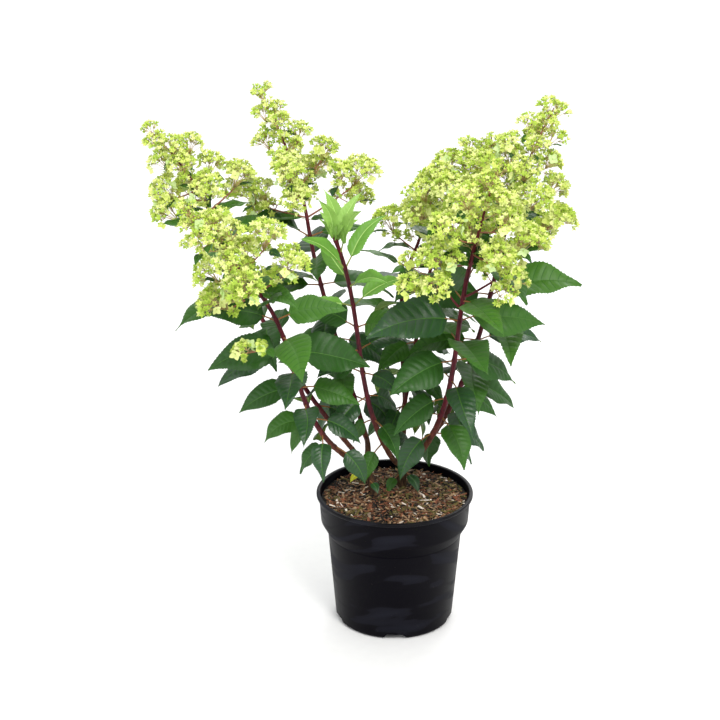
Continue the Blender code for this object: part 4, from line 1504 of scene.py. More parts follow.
def make_mulch_bed(pile):
    """A rough disc under the chips, coloured near black as painted shade in the gaps between them."""
    points = []
    for i in range(1, BED_RINGS + 1):
        radius = MULCH_RADIUS * MM * i / BED_RINGS
        for k in range(BED_STEPS):
            turn = 2.0 * math.pi * k / BED_STEPS
            x, y = radius * math.cos(turn), radius * math.sin(turn)
            points.append((x, y, bed_height(x, y)))
    foot = (MULCH_TOP - MULCH_DEPTH) * MM
    points += [(x, y, foot) for x, y, _ in points[-BED_STEPS:]]
    points += [(0.0, 0.0, bed_height(0.0, 0.0)), (0.0, 0.0, foot)]
    top, bottom = len(points) - 2, len(points) - 1
    last = BED_RINGS * BED_STEPS
    faces = []
    for k in range(BED_STEPS):
        n = (k + 1) % BED_STEPS
        faces.append((top, k, n))
        for row in range(0, last, BED_STEPS):
            a, b = row + k, row + n
            faces += [(a, a + BED_STEPS, b + BED_STEPS), (a, b + BED_STEPS, b)]
        faces.append((bottom, last + n, last + k))
    # near-black painted shade for the gaps between the chips
    pile.add(points, faces, look("chip_shade"))


def chip_shape(draw):
    """A splinter of bark about one unit long: a flat six-sided prism with ragged ends."""
    ring, faces = prism(CHIP_SIDES)
    points = []
    for end in (-1.0, 1.0):
        for x, y in ring:
            along = end * (1.0 + draw.uniform(*CHIP_RAGGED))
            points.append((along, x * draw.uniform(*CHIP_WIDE), y * draw.uniform(*CHIP_HIGH)))
    return np.array(points), faces


def clear_of_stumps(places):
    """Whether a place on the mulch lies outside both stumps' feet."""
    free = np.ones(len(places), dtype=bool)
    for stump in STUMPS.values():
        away = np.linalg.norm(places[:, :2] - np.array(stump.foot[:2]) * MM, axis=1)
        free &= away > stump.foot_radius * STUMP_CLEAR * MM
    return free


def is_mossy(x, y):
    """Whether moss grows at a place on the mulch: in spots, and mostly on its right."""
    return noise_at(x * MOSS_SPOTS, y * MOSS_SPOTS, MOSS_LAYER) + MOSS_TO_RIGHT * x > MOSS_FROM


def chip_frames(count, rng):
    """Which way the chips lie: turned anyhow, nearly flat."""
    yaw = rng.uniform(0.0, 2.0 * math.pi, count)
    pitch = rng.normal(0.0, CHIP_PITCH, count)
    along = np.stack([np.cos(yaw) * np.cos(pitch), np.sin(yaw) * np.cos(pitch), np.sin(pitch)], axis=1)
    tilts = [rng.normal(0.0, CHIP_TILT, count), rng.normal(0.0, CHIP_TILT, count), np.ones(count)]
    across = unit(np.cross(np.stack(tilts, axis=1), along))
    return np.stack([along, across, np.cross(along, across)], axis=2)


def lay_chips(pile, kind):
    """Chips of one kind over the whole bed, in seeded places; moss only on mossy ones."""
    rng = np.random.default_rng(kind.seed)
    draw = random.Random(kind.seed)
    count = kind.count
    moss = "moss" in kind.tints
    shapes = [chip_shape(draw) for _ in range(CHIP_SHAPES)]
    halves = [rng.uniform(*span, count) * MM / 2.0 for span in (kind.length, kind.width, kind.thick)]
    radius = (MULCH_RADIUS * MM - halves[0]) * np.sqrt(rng.uniform(0.0, 1.0, count))
    turn = rng.uniform(0.0, 2.0 * math.pi, count)
    x, y = radius * np.cos(turn), radius * np.sin(turn)
    rise = rng.uniform(*CHIP_RISE, count) * MM
    places = np.stack([x, y, [bed_height(*spot) for spot in zip(x, y)] + rise], axis=1)
    mossy = np.array([is_mossy(*spot) for spot in zip(x, y)])
    keep = clear_of_stumps(places) & (mossy | (not moss))
    frames = chip_frames(count, rng)
    shares = np.array(list(kind.tints.values())) / sum(kind.tints.values())
    tints = rng.choice([look(name) for name in kind.tints], count, p=shares)
    if not moss:
        tints[mossy & (rng.random(count) < OLIVE_SHARE)] = look("chip_olive")
    which = rng.integers(0, CHIP_SHAPES, count)
    sizes = np.stack(halves, axis=1)
    for number, (points, faces) in enumerate(shapes):
        mine = keep & (which == number)
        scatter(pile, points, faces, places[mine], frames[mine], sizes[mine], tints[mine][:, None])


def make_mulch():
    pile = Pile()
    make_mulch_bed(pile)
    for kind in CHIP_KINDS:
        lay_chips(pile, kind)
    pile.make("shredded_bark", "mulch", ["bark_mulch"], sharp=CHIP_SHARP)
    paint(frame["nodes"]["potting_mix"].data, ["chip_dark"])


# Stumps and canes


def arm_line(stump, cane):
    """The middle line of an arm and its radius at places along it."""
    way_out = bezier_way(cane_path(cane), 0.0)
    end = vector_mm(cane.start)
    fork = vector_mm(stump.fork)
    root = fork.lerp(vector_mm(stump.foot), ARM_ROOT)
    lead = end - way_out * (end - fork).length * LEAD
    radii = [between(ARM_RADIUS, cane.radius, share) * MM for share in steps(ARM_STEPS)]
    return curve((root, fork.lerp(lead, 0.5), lead, end), ARM_STEPS), radii


def trunk_line(stump):
    """The middle line of a stump, from under the mulch to a little over its fork, and its radii."""
    foot = vector_mm(stump.foot) - UP * STUMP_SINK * MM
    fork = vector_mm(stump.fork)
    places = [foot.lerp(fork, share) for share in steps(STUMP_STEPS)]
    places.append(fork + (fork - foot).normalized() * STUMP_TOP * MM)
    radii = []
    for share in steps(STUMP_STEPS + 1):
        flare = 1.0 + (STUMP_FLARE - 1.0) * math.exp(-share * FLARE_FADE)
        radii.append(between(stump.foot_radius, stump.fork_radius, share) * flare * MM)
    return places, radii


def bark_relief(x, y, z):
    """How far old bark stands out at a place, in metres: long furrows and low lumps."""
    furrow = noise_at(x * FURROWS, y * FURROWS, z * FURROWS_UP)
    lump = noise_at(x * LUMPS, y * LUMPS, z * LUMPS)
    return ((1.0 - abs(furrow) * FURROW_SHARP) * FURROW_DEPTH + lump * LUMP_DEPTH - BARK_SINK) * MM


def make_stump(name, stump):
    """Flared foot, trunk and arms, fused and given the relief of old bark."""
    pile = Pile()
    tube(pile, *trunk_line(stump), BARK_SIDES, look("old_bark"))
    for cane in CANES:
        if cane.stump == name:
            tube(pile, *arm_line(stump, cane), BARK_SIDES, look("old_bark"))
    made = pile.make("old_wood_" + name, "bark", ["stump_" + name])
    fuse = made.modifiers.new("fuse", "REMESH")
    fuse.mode = "VOXEL"
    fuse.voxel_size = BARK_VOXEL * MM
    mesh = apply_modifiers(made)
    paint(mesh, ["old_bark"])
    points = np.empty(len(mesh.vertices) * 3)
    normals = np.empty(len(mesh.vertices) * 3)
    mesh.vertices.foreach_get("co", points)
    mesh.vertex_normals.foreach_get("vector", normals)
    relief = np.repeat([bark_relief(*place) for place in points.reshape(-1, 3)], 3)
    mesh.vertices.foreach_set("co", points + normals * relief)
    mesh.shade_smooth()
    mesh.update()


def make_cane(cane):
    """The whole cane, from its arm to its flower head: swollen at each pair of leaves."""
    path = cane_path(cane)
    length = path_length(path)
    shares = steps(int(length / (CANE_RING_EVERY * MM)))
    nodes = sorted({round(node[0], 4) for node in leaf_nodes(cane)})
    radii = []
    for t in shares:
        swell = sum(math.exp(-((t - n) * length / (NODE_LENGTH * MM)) ** 2) for n in nodes)
        radii.append(cane_radius(cane, t) * (1.0 + NODE_SWELL * min(swell, 1.0)))
    offset = Vector((cane.seed, 0.0, 0.0))

    def relief(number, places):
        """How much wider or narrower the cane is at each place of one ring."""
        depth = GRAIN_TOP + GRAIN_FOOT * (1.0 - shares[number]) ** 3
        spots = [Vector((x * CANE_GRAIN, y * CANE_GRAIN, z * CANE_GRAIN_UP)) for x, y, z in places]
        return np.array([1.0 + depth * noise.noise(spot + offset) for spot in spots])

    pile = Pile()
    tube(pile, [bezier(path, t) for t in shares], radii, CANE_SIDES, look("cane_bark"), relief)
    pile.make("bark_of_cane_" + cane.name, "cane", ["cane_" + cane.name])


# Leaves


Row = namedtuple("Row", "start tooth bulge on_vein", defaults=[False])


def blade_rows(veins):
    """Rows across a leaf, which follow its side veins, from its base to its tip."""
    rows = [Row(*row) for row in BASE_ROWS]
    starts = [between(FIRST_VEIN, LAST_VEIN, share ** VEIN_CROWD) for share in steps(veins)]
    for low, high in zip(starts, starts[1:]):
        rows += [Row(low - VEIN_HALF, 1.0, 0.0, on_vein=True), Row(low + VEIN_HALF, 0.0, 0.0)]
        rows += [Row(between(low, high, share), tooth, bulge) for share, tooth, bulge in PUFF_ROWS]
    return rows + [Row(*row) for row in TIP_ROWS]


def blade_half_width(u):
    """Half the leaf's width, as a share of its length, u of the way from its base to its tip."""
    u = np.clip(u, 0.0, 1.0)
    oval = np.maximum(np.sin(np.pi * u ** BLADE_POWER), 0.0) ** BLADE_FULL
    return BLADE_WIDTH * oval * (1.0 - BLADE_POINT * u ** BLADE_POINT_POWER)


class BladeGrid:
    """What all leaves of one degree of detail share: the places of their points, and their faces."""

    def __init__(self, veins, columns):
        rows = blade_rows(veins)
        start, tooth, bulge, on_vein = (np.array(column) for column in zip(*rows))
        start = start[:, None]
        end = start + VEIN_SWEEP * (1.0 - start) * (1.0 - np.exp(-start / VEIN_BASE))
        right = [RIB_COLUMN, *columns]
        across = np.array([-f for f in reversed(right)] + [0.0] + right)[None]
        self.across = across
        self.midrib = np.abs(across) < NEAR
        self.edge = np.abs(across) > 1.0 - NEAR
        self.u = start + (end - start) * np.abs(across) ** VEIN_BOW
        self.f = np.abs(across) + 0.0 * self.u
        self.tooth = tooth[:, None]
        self.bulge = bulge[:, None]
        self.faces, self.kinds = self.make_faces(len(rows), across.shape[1], on_vein)

    def make_faces(self, rows, columns, on_vein):
        """Upper and under side, and the thin rim between them; kinds 0 blade, 1 midrib, 2 side vein."""
        count = rows * columns
        middle = columns // 2
        faces, kinds = [], []
        for i in range(rows - 1):
            for k in range(columns - 1):
                a, b = i * columns + k, i * columns + k + 1
                c, d = b + columns, a + columns
                kind = 1 if k in (middle - 1, middle) else 0
                if kind == 0 and on_vein[i] and 0 < k < columns - 2:
                    kind = 2
                faces += [(a, b, c), (a, c, d)]
                faces += [(count + a, count + c, count + b), (count + a, count + d, count + c)]
                kinds += [kind, kind, kind + 3, kind + 3]
            for a, turned_over in ((i * columns, False), ((i + 1) * columns - 1, True)):
                d = a + columns
                rim = [(a, d, count + d), (a, count + d, count + a)]
                faces += [f[::-1] for f in rim] if turned_over else rim
                kinds += [0, 0]
        base = [(k, count + k, count + k + 1) for k in range(columns - 1)]
        base += [(k, count + k + 1, k + 1) for k in range(columns - 1)]
        return np.array(faces + base), np.array(kinds + [0] * len(base))


FINE_LEAF = BladeGrid(8, FINE_COLUMNS)
SMALL_LEAF = BladeGrid(3, SMALL_COLUMNS)


def leaf_ways(draw, narrow=1.0, cup=0.0):
    """How one leaf is; narrow scales its width and cup folds it further up."""
    ways = Ways(*(draw.uniform(*span) for span in LEAF_WAYS))
    return ways._replace(width=narrow * ways.width, fold=cup + ways.fold)


def arching_line(blade, s):
    """Place and direction along a leaf's stalk and blade, s from 0 to 1."""
    root, heading, climb, arch, stalk, length = blade
    total = stalk + length
    first = climb + arch / (2.0 * LEAF_FRAMES)
    angle = first - arch * s
    level = np.sin(first) - np.sin(angle)
    rise = np.cos(angle) - np.cos(first)
    heading, up, root = np.array(heading), np.array(UP), np.array(root)
    place = root + (level[..., None] * heading + rise[..., None] * up) * total / arch
    way = np.cos(angle)[..., None] * heading + np.sin(angle)[..., None] * up
    return place, way


def blade_reach(grid, half, rib, length):
    """How far each point lies from the middle line, at the edge out to the teeth."""
    full = np.minimum(half / (TOOTH_FULL * length), 1.0)
    out = grid.f * half + np.where(grid.edge, TOOTH * length * grid.tooth * full, 0.0)
    out = np.where(grid.midrib & (grid.across != 0.0), np.minimum(rib, half * 0.5), out)
    return np.sign(grid.across) * np.maximum(out, 0.0)


def blade_lift(grid, half, ways, length):
    """How far each point stands off the flat: puffed between the veins, folded, rolled and waved."""
    f = grid.f
    first, second = PUFF_POWERS
    puff = np.sin(np.pi * np.minimum(f, 1.0) ** first) ** second
    high = BULGE * length * grid.bulge * puff * np.minimum(half / (BULGE_FULL * length), 1.0)
    cells = np.cos(2.0 * np.pi * CELLS * f + ways.phase + grid.bulge * 2.0)
    high = high + QUILT * length * grid.bulge * puff * cells
    high = high + half * (ways.fold * f ** FOLD_POWER - ways.roll * f ** 3)
    ripple = np.sin(ways.phase + grid.u * RIPPLES + np.sign(grid.across) * RIPPLE_APART)
    return high + ways.wave * length * f ** 2 * ripple


def add_blade(pile, blade, grid, make, ways, looks):
    """One leaf blade; looks are upper, midrib, side vein, under, its midrib and its side vein."""
    root, heading, climb, arch, stalk, length = blade
    u = grid.u
    place, way = arching_line(blade, (stalk + u * length) / (stalk + length))
    side = np.array(leaf_side(root, heading, climb, arch))
    side = unit(side - way * (way @ side)[..., None])
    lift = np.cross(side, way)
    turn = ways.twist * (u - TWIST_FROM)[..., None]
    side, lift = side * np.cos(turn) + lift * np.sin(turn), lift * np.cos(turn) - side * np.sin(turn)
    half = np.maximum(blade_half_width(u) * ways.width, BLADE_LEAST) * length
    rib = make.midrib * MM * (1.0 - RIB_FADE * u)
    out = blade_reach(grid, half, rib, length) + ways.sweep * length * np.sin(np.pi * u)
    place = place + np.array(UP) * (-ways.droop * length * u ** 3)[..., None]
    flat = place + side * out[..., None]
    high = blade_lift(grid, half, ways, length)
    half_thick = make.blade * MM / 2.0 * np.where(grid.edge, EDGE_THIN, 1.0)
    groove = np.where(grid.across == 0.0, rib * GROOVE, 0.0)
    upper = flat + lift * (high + half_thick - groove)[..., None]
    under = flat + lift * (high - half_thick - groove * GROOVE_UNDER)[..., None]
    points = np.concatenate([upper.reshape(-1, 3), under.reshape(-1, 3)])
    pile.add(points, grid.faces, np.array(looks)[grid.kinds])


def add_leaf(blades, stalks, blade, grid, make, ways, tint, stalk_name):
    """A blade and its stalk, which runs on a little way under it."""
    add_blade(blades, blade, grid, make, ways, leaf_looks(tint))
    stalk, length = blade[-2:]
    s = np.linspace(0.0, (stalk + PETIOLE_UNDER * length) / (stalk + length), PETIOLE_STEPS)
    radii = np.linspace(make.root, make.end, PETIOLE_STEPS) * MM
    radii[0] *= PETIOLE_FOOT
    tube(stalks, arching_line(blade, s)[0], radii, PETIOLE_SIDES, look(stalk_name))


def leaf_looks(tint):
    """The looks of a leaf's upper side, midrib and side veins, then of the same below."""
    young = tint in YOUNG_TINTS
    above = (tint, "young_vein", tint) if young else (tint, "vein_top", "vein_fine")
    below = ("young_under" if young else "leaf_under", "vein_under", "vein_under")
    return [look(name) for name in above + below]


def dress_leaves(cane, half, leaves):
    """The fine leaves of one mass, and their stalks, as two piles."""
    draw = random.Random(cane.seed * SEEDS_APART + half)
    blades, stalks = Pile(), Pile()
    # the lower length's larger share of dark and bluish tints is painted shade
    tints = HIGH_TINTS if half else LOW_TINTS_WITH_PAINTED_SHADE
    for blade, along in leaves:
        young = not cane.bloom_tip and along > YOUNG_FROM
        tint = draw.choices(list(tints), list(tints.values()))[0]
        if young:
            tint = "leaf_tip" if along > TIP_FROM else "leaf_young"
        ways = leaf_ways(draw, YOUNG_NARROW, YOUNG_CUP) if young else leaf_ways(draw)
        stalk_name = "petiole_green" if young else "petiole"
        add_leaf(blades, stalks, blade, FINE_LEAF, GROWN, ways, tint, stalk_name)
    if half == 1 and not cane.bloom_tip:
        dress_tip(cane, blades, stalks)
    return blades, stalks


def dress_tip(cane, blades, stalks):
    """The bunch of small upright leaves that the young shoot ends in."""
    draw = random.Random(cane.seed + TIP_SEED)
    path = cane_path(cane)
    for number in range(TIP_LEAVES):
        share = number / TIP_LEAVES
        place = bezier(path, between(*TIP_ROOTS, share))
        size = draw.uniform(*TIP_VARY) * between(*TIP_SIZES, share) * MM
        climb = math.radians(between(*TIP_CLIMBS, share))
        blade = (place, level_way(GOLDEN * number), climb, TIP_ARCH, TIP_STALK * MM, size)
        ways = leaf_ways(draw, TIP_NARROW, TIP_CUP)
        add_leaf(blades, stalks, blade, SMALL_LEAF, TUFT, ways, "leaf_tip", "petiole_green")


def make_late_leaves(name):
    """The few small leaves that spring from an old stump."""
    draw = random.Random(len(name))
    pile = Pile()
    for leaf in LATE_LEAVES[name]:
        heading = level_way(math.radians(leaf.turn))
        length = leaf.length * MM
        climb = math.radians(leaf.climb)
        blade = (vector_mm(leaf.place), heading, climb, LATE_ARCH, length * LATE_STALK, length)
        add_leaf(pile, pile, blade, SMALL_LEAF, LATE, leaf_ways(draw), leaf.tint, "petiole")
    pile.make("late_leaves_" + name, "leaf", ["stump_" + name], sharp=LEAF_SHARP)


# Flower heads


def petal():
    """One pointed petal along +X from the middle, folded down its middle line, its tip turned out."""
    middle = PETAL_WIDEST * PETAL_CUP
    edge = middle + PETAL_FOLD
    row = [(PETAL_WIDEST, y, z) for y, z in ((-PETAL_WIDTH, edge), (0.0, middle), (PETAL_WIDTH, edge))]
    points = [PETAL_ROOT, *row, (1.0, 0.0, PETAL_TIP * PETAL_CUP)]
    return np.array(points), np.array([(0, 1, 2), (0, 2, 3), (1, 4, 2), (2, 4, 3)])


def sepal(lift):
    """One broad sepal of a large floret along +X: rows of three points, base to tip."""
    widest, blunt, curl = SEPAL_POWERS
    near, low = SEPAL_ROOT
    points, faces = [(near, 0.0, low + lift)], [(0, 1, 2), (0, 2, 3)]
    for r in steps(SEPAL_STEPS)[1:-1]:
        half = SEPAL_WIDTH * math.sin(math.pi * r ** widest) ** blunt
        z = SEPAL_CUP * r ** curl + lift
        edge = z + SEPAL_FOLD * half
        points += [(r, -half, edge), (r, 0.0, z), (r, half, edge)]
    points.append((1.0, 0.0, SEPAL_CUP + lift))
    last = len(points) - 4
    for a in range(1, last, 3):
        faces += [(a, a + 3, a + 4), (a, a + 4, a + 1), (a + 1, a + 4, a + 5), (a + 1, a + 5, a + 2)]
    faces += [(last, last + 3, last + 1), (last + 1, last + 3, last + 2)]
    return np.array(points), np.array(faces)


def turn_z(points, angle):
    c, s = math.cos(angle), math.sin(angle)
    return points @ np.array([[c, s, 0.0], [-s, c, 0.0], [0.0, 0.0, 1.0]])


def floret_shape(petals, eye):
    """Petals round a small bud; the third result says which faces are the bud's."""
    points, faces = [], []
    count = 0
    for number, (petal_points, petal_faces) in enumerate(petals):
        points.append(turn_z(petal_points, 2.0 * math.pi * number / len(petals)))
        faces.append(petal_faces + count)
        count += len(petal_points)
    ring = [(eye * math.cos(a), eye * math.sin(a), EYE_FOOT) for a in QUARTERS]
    points.append(np.array(ring + [(0.0, 0.0, EYE_FOOT + EYE_HIGH * eye)]))
    faces.append(np.array([(0, 1, 4), (1, 2, 4), (2, 3, 4), (3, 0, 4)]) + count)
    faces = np.concatenate(faces)
    return np.concatenate(points), faces, np.arange(len(faces)) >= len(faces) - 4


def bud_shape():
    """A closed bud, five-sided and drawn out below."""
    angles = np.arange(BUD_SIDES) * 2.0 * math.pi / BUD_SIDES
    ring = [(math.cos(a), math.sin(a), BUD_WAIST) for a in angles]
    faces = []
    for k in range(BUD_SIDES):
        n = (k + 1) % BUD_SIDES
        faces += [(0, 1 + n, 1 + k), (1 + k, 1 + n, BUD_SIDES + 1)]
    return np.array([(0.0, 0.0, BUD_FOOT), *ring, (0.0, 0.0, BUD_TOP)]), np.array(faces)


FLORET = floret_shape([petal()] * PETALS, EYE)
SHOW_FLORET = floret_shape([sepal(SEPAL_LIFT * (number % 2)) for number in range(SEPALS)], SHOW_EYE)
BUD = bud_shape()


def dome(count, low, rng):
    """Directions spread evenly from straight up down to the polar angle low."""
    share = (np.arange(count) + 0.5) / count
    cos = 1.0 - share * (1.0 - math.cos(low))
    sin = np.sqrt(1.0 - cos * cos)
    turn = np.arange(count) * GOLDEN + rng.uniform(*ANY_TURN)
    return np.stack([sin * np.cos(turn), sin * np.sin(turn), cos], axis=1)


def dress_head(florets, stalks, head, rng):
    """A head as a dome of small umbels, each a dome of florets and buds on fine stalks."""
    size = head.size
    way = np.array((head.way + UP * DOME_TILT).normalized())
    centre = np.array(head.tip) + way * size * DOME_RISE
    turn = frame_facing(way, rng.uniform(*ANY_TURN))
    count = max(UMBELS_LEAST, int(round(UMBELS_ON_SMALL * (size / (SMALL_HEAD * MM)) ** 2)))
    flat = dome(count, UMBEL_LOW, rng)
    flat[:, 2] *= DOME_HEIGHT
    flat *= rng.uniform(*DOME_ROUGH, (count, 1))
    middles = centre + (flat * UMBEL_SPREAD * size) @ turn.T
    fork = centre - way * size * HEAD_FORK
    outs = unit(middles - (centre - way * size * HEAD_EYE))
    radii = size * UMBEL_RADIUS * rng.uniform(*UMBEL_VARY, count)
    bases = middles - outs * radii[:, None] * UMBEL_DEEP
    add_branchlets(stalks, fork, bases)
    line = add_head_stalk(stalks, head, fork, way)
    for middle, out, radius, base in zip(middles, outs, radii, bases):
        dress_umbel(florets, stalks, middle, out, radius, base, head, rng)
    dress_stalk(florets, stalks, head, line, rng)
    add_show_florets(florets, stalks, head, turn, fork, rng)


def add_branchlets(stalks, start, ends):
    spokes(stalks, start, ends, *BRANCHLET, "stalk_tan")


def add_head_stalk(stalks, head, fork, way):
    """The head's own stalk, which sags a little; gives its middle line."""
    root = np.array(head.root)
    bend = (root + fork) / 2.0 - np.array(UP) * np.linalg.norm(fork - root) * HEAD_STALK_SAG
    line = curve([root, bend, fork], HEAD_STALK_STEPS)
    line.append(Vector(fork + way * head.size * HEAD_STALK_END))
    radii = np.linspace(head.radius, head.radius * HEAD_STALK_THIN, len(line))
    name = "stalk_brown" if head.share < BROWN_BELOW else "stalk_tan"
    tube(stalks, line, radii, HEAD_STALK_SIDES, look(name))
    return line


def dress_umbel(florets, stalks, middle, out, radius, base, head, rng):
    """A small dome of florets and closed buds, each on its own fine stalk from base."""
    grown = min(1.0, FLORET_LEAST + (1.0 - FLORET_LEAST) * head.size / MM / SMALL_HEAD)
    turn = frame_facing(out, rng.uniform(*ANY_TURN))
    spots = dome(UMBEL_FLORETS, UMBEL_RIM, rng)
    places = middle + (spots * radius * rng.uniform(*UMBEL_ROUGH, (UMBEL_FLORETS, 1))) @ turn.T
    aslant = rng.normal(0.0, FLORET_ASLANT, (UMBEL_FLORETS, 3))
    facing = unit(spots @ turn.T * FLORET_SPREAD + out * FLORET_OUT + np.array(UP) * FLORET_UP + aslant)
    opened = rng.random(UMBEL_FLORETS) < OPEN_LOW - OPEN_LESS * head.share
    extra = middle + (rng.normal(0.0, BUD_SCATTER, (UMBEL_BUDS, 3)) * radius) @ turn.T
    closed = np.concatenate([places[~opened], extra])
    closed_facing = np.concatenate([facing[~opened], np.repeat(out[None], UMBEL_BUDS, axis=0)])
    sizes = [size * grown for size in FLORET_SIZE]
    add_florets(florets, FLORET, places[opened], facing[opened], sizes, rng)
    add_buds(florets, closed, closed_facing, rng)
    ends = np.concatenate([places - facing * FLORET_SEAT * MM, extra])
    spokes(stalks, base, ends, *PEDICEL, "pedicel")


def branch_off(florets, stalks, spot, out, reach, radius, head, rng):
    """A short branchlet that ends in a small umbel."""
    base = spot + out * reach * BRANCHLET_SHARE
    add_branchlets(stalks, spot, [base])
    dress_umbel(florets, stalks, spot + out * reach, out, radius, base, head, rng)


def dress_stalk(florets, stalks, head, line, rng):
    """Small umbels on short branchlets along the outer half of a longer stalk."""
    count = int((head.tip - head.root).length / STALK_UMBEL_EVERY / MM)
    way = np.array(line[-1] - line[0]) / (line[-1] - line[0]).length
    for number in range(count):
        share = STALK_UMBELS_FROM + STALK_UMBELS_SPAN * (number + 0.5) / count
        aside = frame_facing(way, GOLDEN * number + rng.uniform(0.0, 1.0))[:, 0]
        out = unit(aside + way * STALK_UMBEL_AHEAD + np.array(UP) * STALK_UMBEL_UP)
        reach = rng.uniform(*STALK_UMBEL_REACH) * MM
        radius = head.size * UMBEL_RADIUS * rng.uniform(*STALK_UMBEL_SIZE)
        branch_off(florets, stalks, np.array(bezier(line, share)), out, reach, radius, head, rng)


def add_florets(pile, shape, places, facing, sizes, rng, names=FLORET_TINTS):
    """Open florets, each in one of three tints, of which the greenest is commoner low down."""
    if not len(places):
        return
    points, faces, on_eye = shape
    count = len(places)
    frames = frames_facing(facing, rng.uniform(*ANY_TURN, count))
    green = np.clip((GREEN_BELOW * MM - places[:, 2].mean()) / (GREEN_SPAN * MM), 0.0, 1.0)
    shares = np.array(TINT_SHARES) + green * np.array(GREEN_SHIFT)
    tints = rng.choice([look(name) for name in names], count, p=shares)
    rows = np.where(on_eye, look("eye_green"), tints[:, None])
    scatter(pile, points, faces, places, frames, rng.uniform(*sizes, count) * MM, rows)


def add_buds(pile, places, facing, rng):
    count = len(places)
    frames = frames_facing(facing, rng.uniform(*ANY_TURN, count))
    tints = rng.choice([look("bud_lime"), look("bud_green")], count)
    scatter(pile, *BUD, places, frames, rng.uniform(*BUD_SIZE, count) * MM, tints[:, None])


def add_show_florets(pile, stalks, head, turn, fork, rng):
    """The few large florets at the lower rim of a head, more of them on the lowest heads."""
    count = int(rng.integers(*(SHOW_COUNT_LOW if head.share < SHOW_BELOW else SHOW_COUNT_HIGH)))
    if not count:
        return
    yaw = rng.uniform(0.0, 2.0 * math.pi, count)
    polar = np.radians(rng.uniform(*SHOW_POLAR, count))
    flat = [np.sin(polar) * np.cos(yaw), np.sin(polar) * np.sin(yaw), np.cos(polar) * SHOW_FLAT]
    out = np.stack(flat, axis=1) @ turn.T
    places = np.array(head.tip) + out * head.size * rng.uniform(*SHOW_REACH, (count, 1))
    facing = unit(out + np.array(UP) * SHOW_UP + rng.normal(0.0, SHOW_ASLANT, (count, 3)))
    add_florets(pile, SHOW_FLORET, places, facing, SHOW_SIZE, rng, SHOW_TINTS)
    spokes(stalks, fork, places, *SHOW_PEDICEL, "pedicel")


def dress_rachis(stalks, cane):
    """The middle stalk of a flower head, red like the cane and then brown up to its tip."""
    places = curve(bloom_path(cane), RACHIS_STEPS)
    taper = 1.0 - RACHIS_TAPER * RACHIS_END
    radii = [cane_radius(cane, 1.0) * (1.0 - taper * share) for share in steps(RACHIS_STEPS)]
    joint = RACHIS_RED_STEPS
    tube(stalks, places[:joint + 1], radii[:joint + 1], RACHIS_SIDES, look("rachis_red"))
    tube(stalks, places[joint:], radii[joint:], SIDE_STALK_SIDES, look("stalk_brown"))


def clothe_rachis(florets, stalks, cane, heads, rng):
    """Small umbels on branchlets, all along and around a flower head's middle stalk."""
    path = bloom_path(cane)
    span = RACHIS_UMBELS_TO - RACHIS_UMBELS_FROM
    count = int((path[-1] - path[0]).length * span / RACHIS_UMBEL_EVERY / MM)
    for number in range(count):
        share = RACHIS_UMBELS_FROM + span * number / count
        turn = GOLDEN * number + rng.uniform(0.0, RACHIS_UMBEL_TURN)
        out = unit(np.array([math.cos(turn), math.sin(turn), rng.uniform(*RACHIS_UMBEL_RISE)]))
        reach = rng.uniform(*RACHIS_UMBEL_REACH) * (1.0 - RACHIS_NARROWS * share) * MM
        radius = rng.uniform(*RACHIS_UMBEL_RADIUS) * MM
        nearest = min(heads, key=lambda head: abs(head.share - share))
        branch_off(florets, stalks, np.array(bezier(path, share)), out, reach, radius, nearest, rng)


def dress_head_bract(bracts, stalks, head, draw):
    """A small dark leaf from the fork of a head's stalk, which shows among the heads."""
    if draw.random() > HEAD_BRACT_CHANCE or head.share > HEAD_BRACTS_TO:
        return
    place = head.tip - (head.way + UP * DOME_TILT).normalized() * head.size
    sway = Vector((draw.uniform(-1.0, 1.0), draw.uniform(-1.0, 1.0), 0.0)) * HEAD_BRACT_SWAY
    outward = Vector((head.way.x, head.way.y, 0.0))
    heading = (outward + sway + LEAF_LIGHT * HEAD_BRACT_LIGHT).normalized()
    size = draw.uniform(*HEAD_BRACT_SIZE) * MM
    climb = draw.uniform(*HEAD_BRACT_CLIMB)
    arch = math.radians(draw.uniform(*HEAD_BRACT_ARCH))
    blade = (place, heading, climb, arch, HEAD_BRACT_STALK * size, size)
    tint = draw.choice(HEAD_BRACT_TINTS)
    ways = leaf_ways(draw, HEAD_BRACT_NARROW)
    add_leaf(bracts, stalks, blade, SMALL_LEAF, BRACT, ways, tint, "petiole_green")


def dress_bracts(bracts, stalks, cane):
    """Small leaves under the side stalks of a flower head."""
    draw = random.Random(cane.seed + BRACT_SEED)
    path = bloom_path(cane)
    for number in range(cane.bloom_whorls - 1):
        share = (number + FIRST_WHORL) / cane.bloom_whorls
        if share > BRACTS_TO:
            break
        place = bezier(path, share - BRACT_BELOW)
        full = BRACT_LEAST + BRACT_MORE * (1.0 - share) ** BRACT_LESSEN
        for half in range(2):
            turn = math.radians(cane.turn + 90 * number + 180 * half)
            heading = level_way(turn + draw.uniform(-BRACT_TURN, BRACT_TURN))
            size = draw.uniform(*BRACT_VARY) * full * MM
            stalk = draw.uniform(*BRACT_STALK) * MM
            climb = draw.uniform(*BRACT_CLIMB)
            arch = math.radians(draw.uniform(*BRACT_ARCH))
            ways = leaf_ways(draw, BRACT_NARROW)
            tint = draw.choice(BRACT_TINTS)
            grid = FINE_LEAF if size > BRACT_FINE * MM else SMALL_LEAF
            blade = (place, heading, climb, arch, stalk, size)
            add_leaf(bracts, stalks, blade, grid, BRACT, ways, tint, "petiole_green")


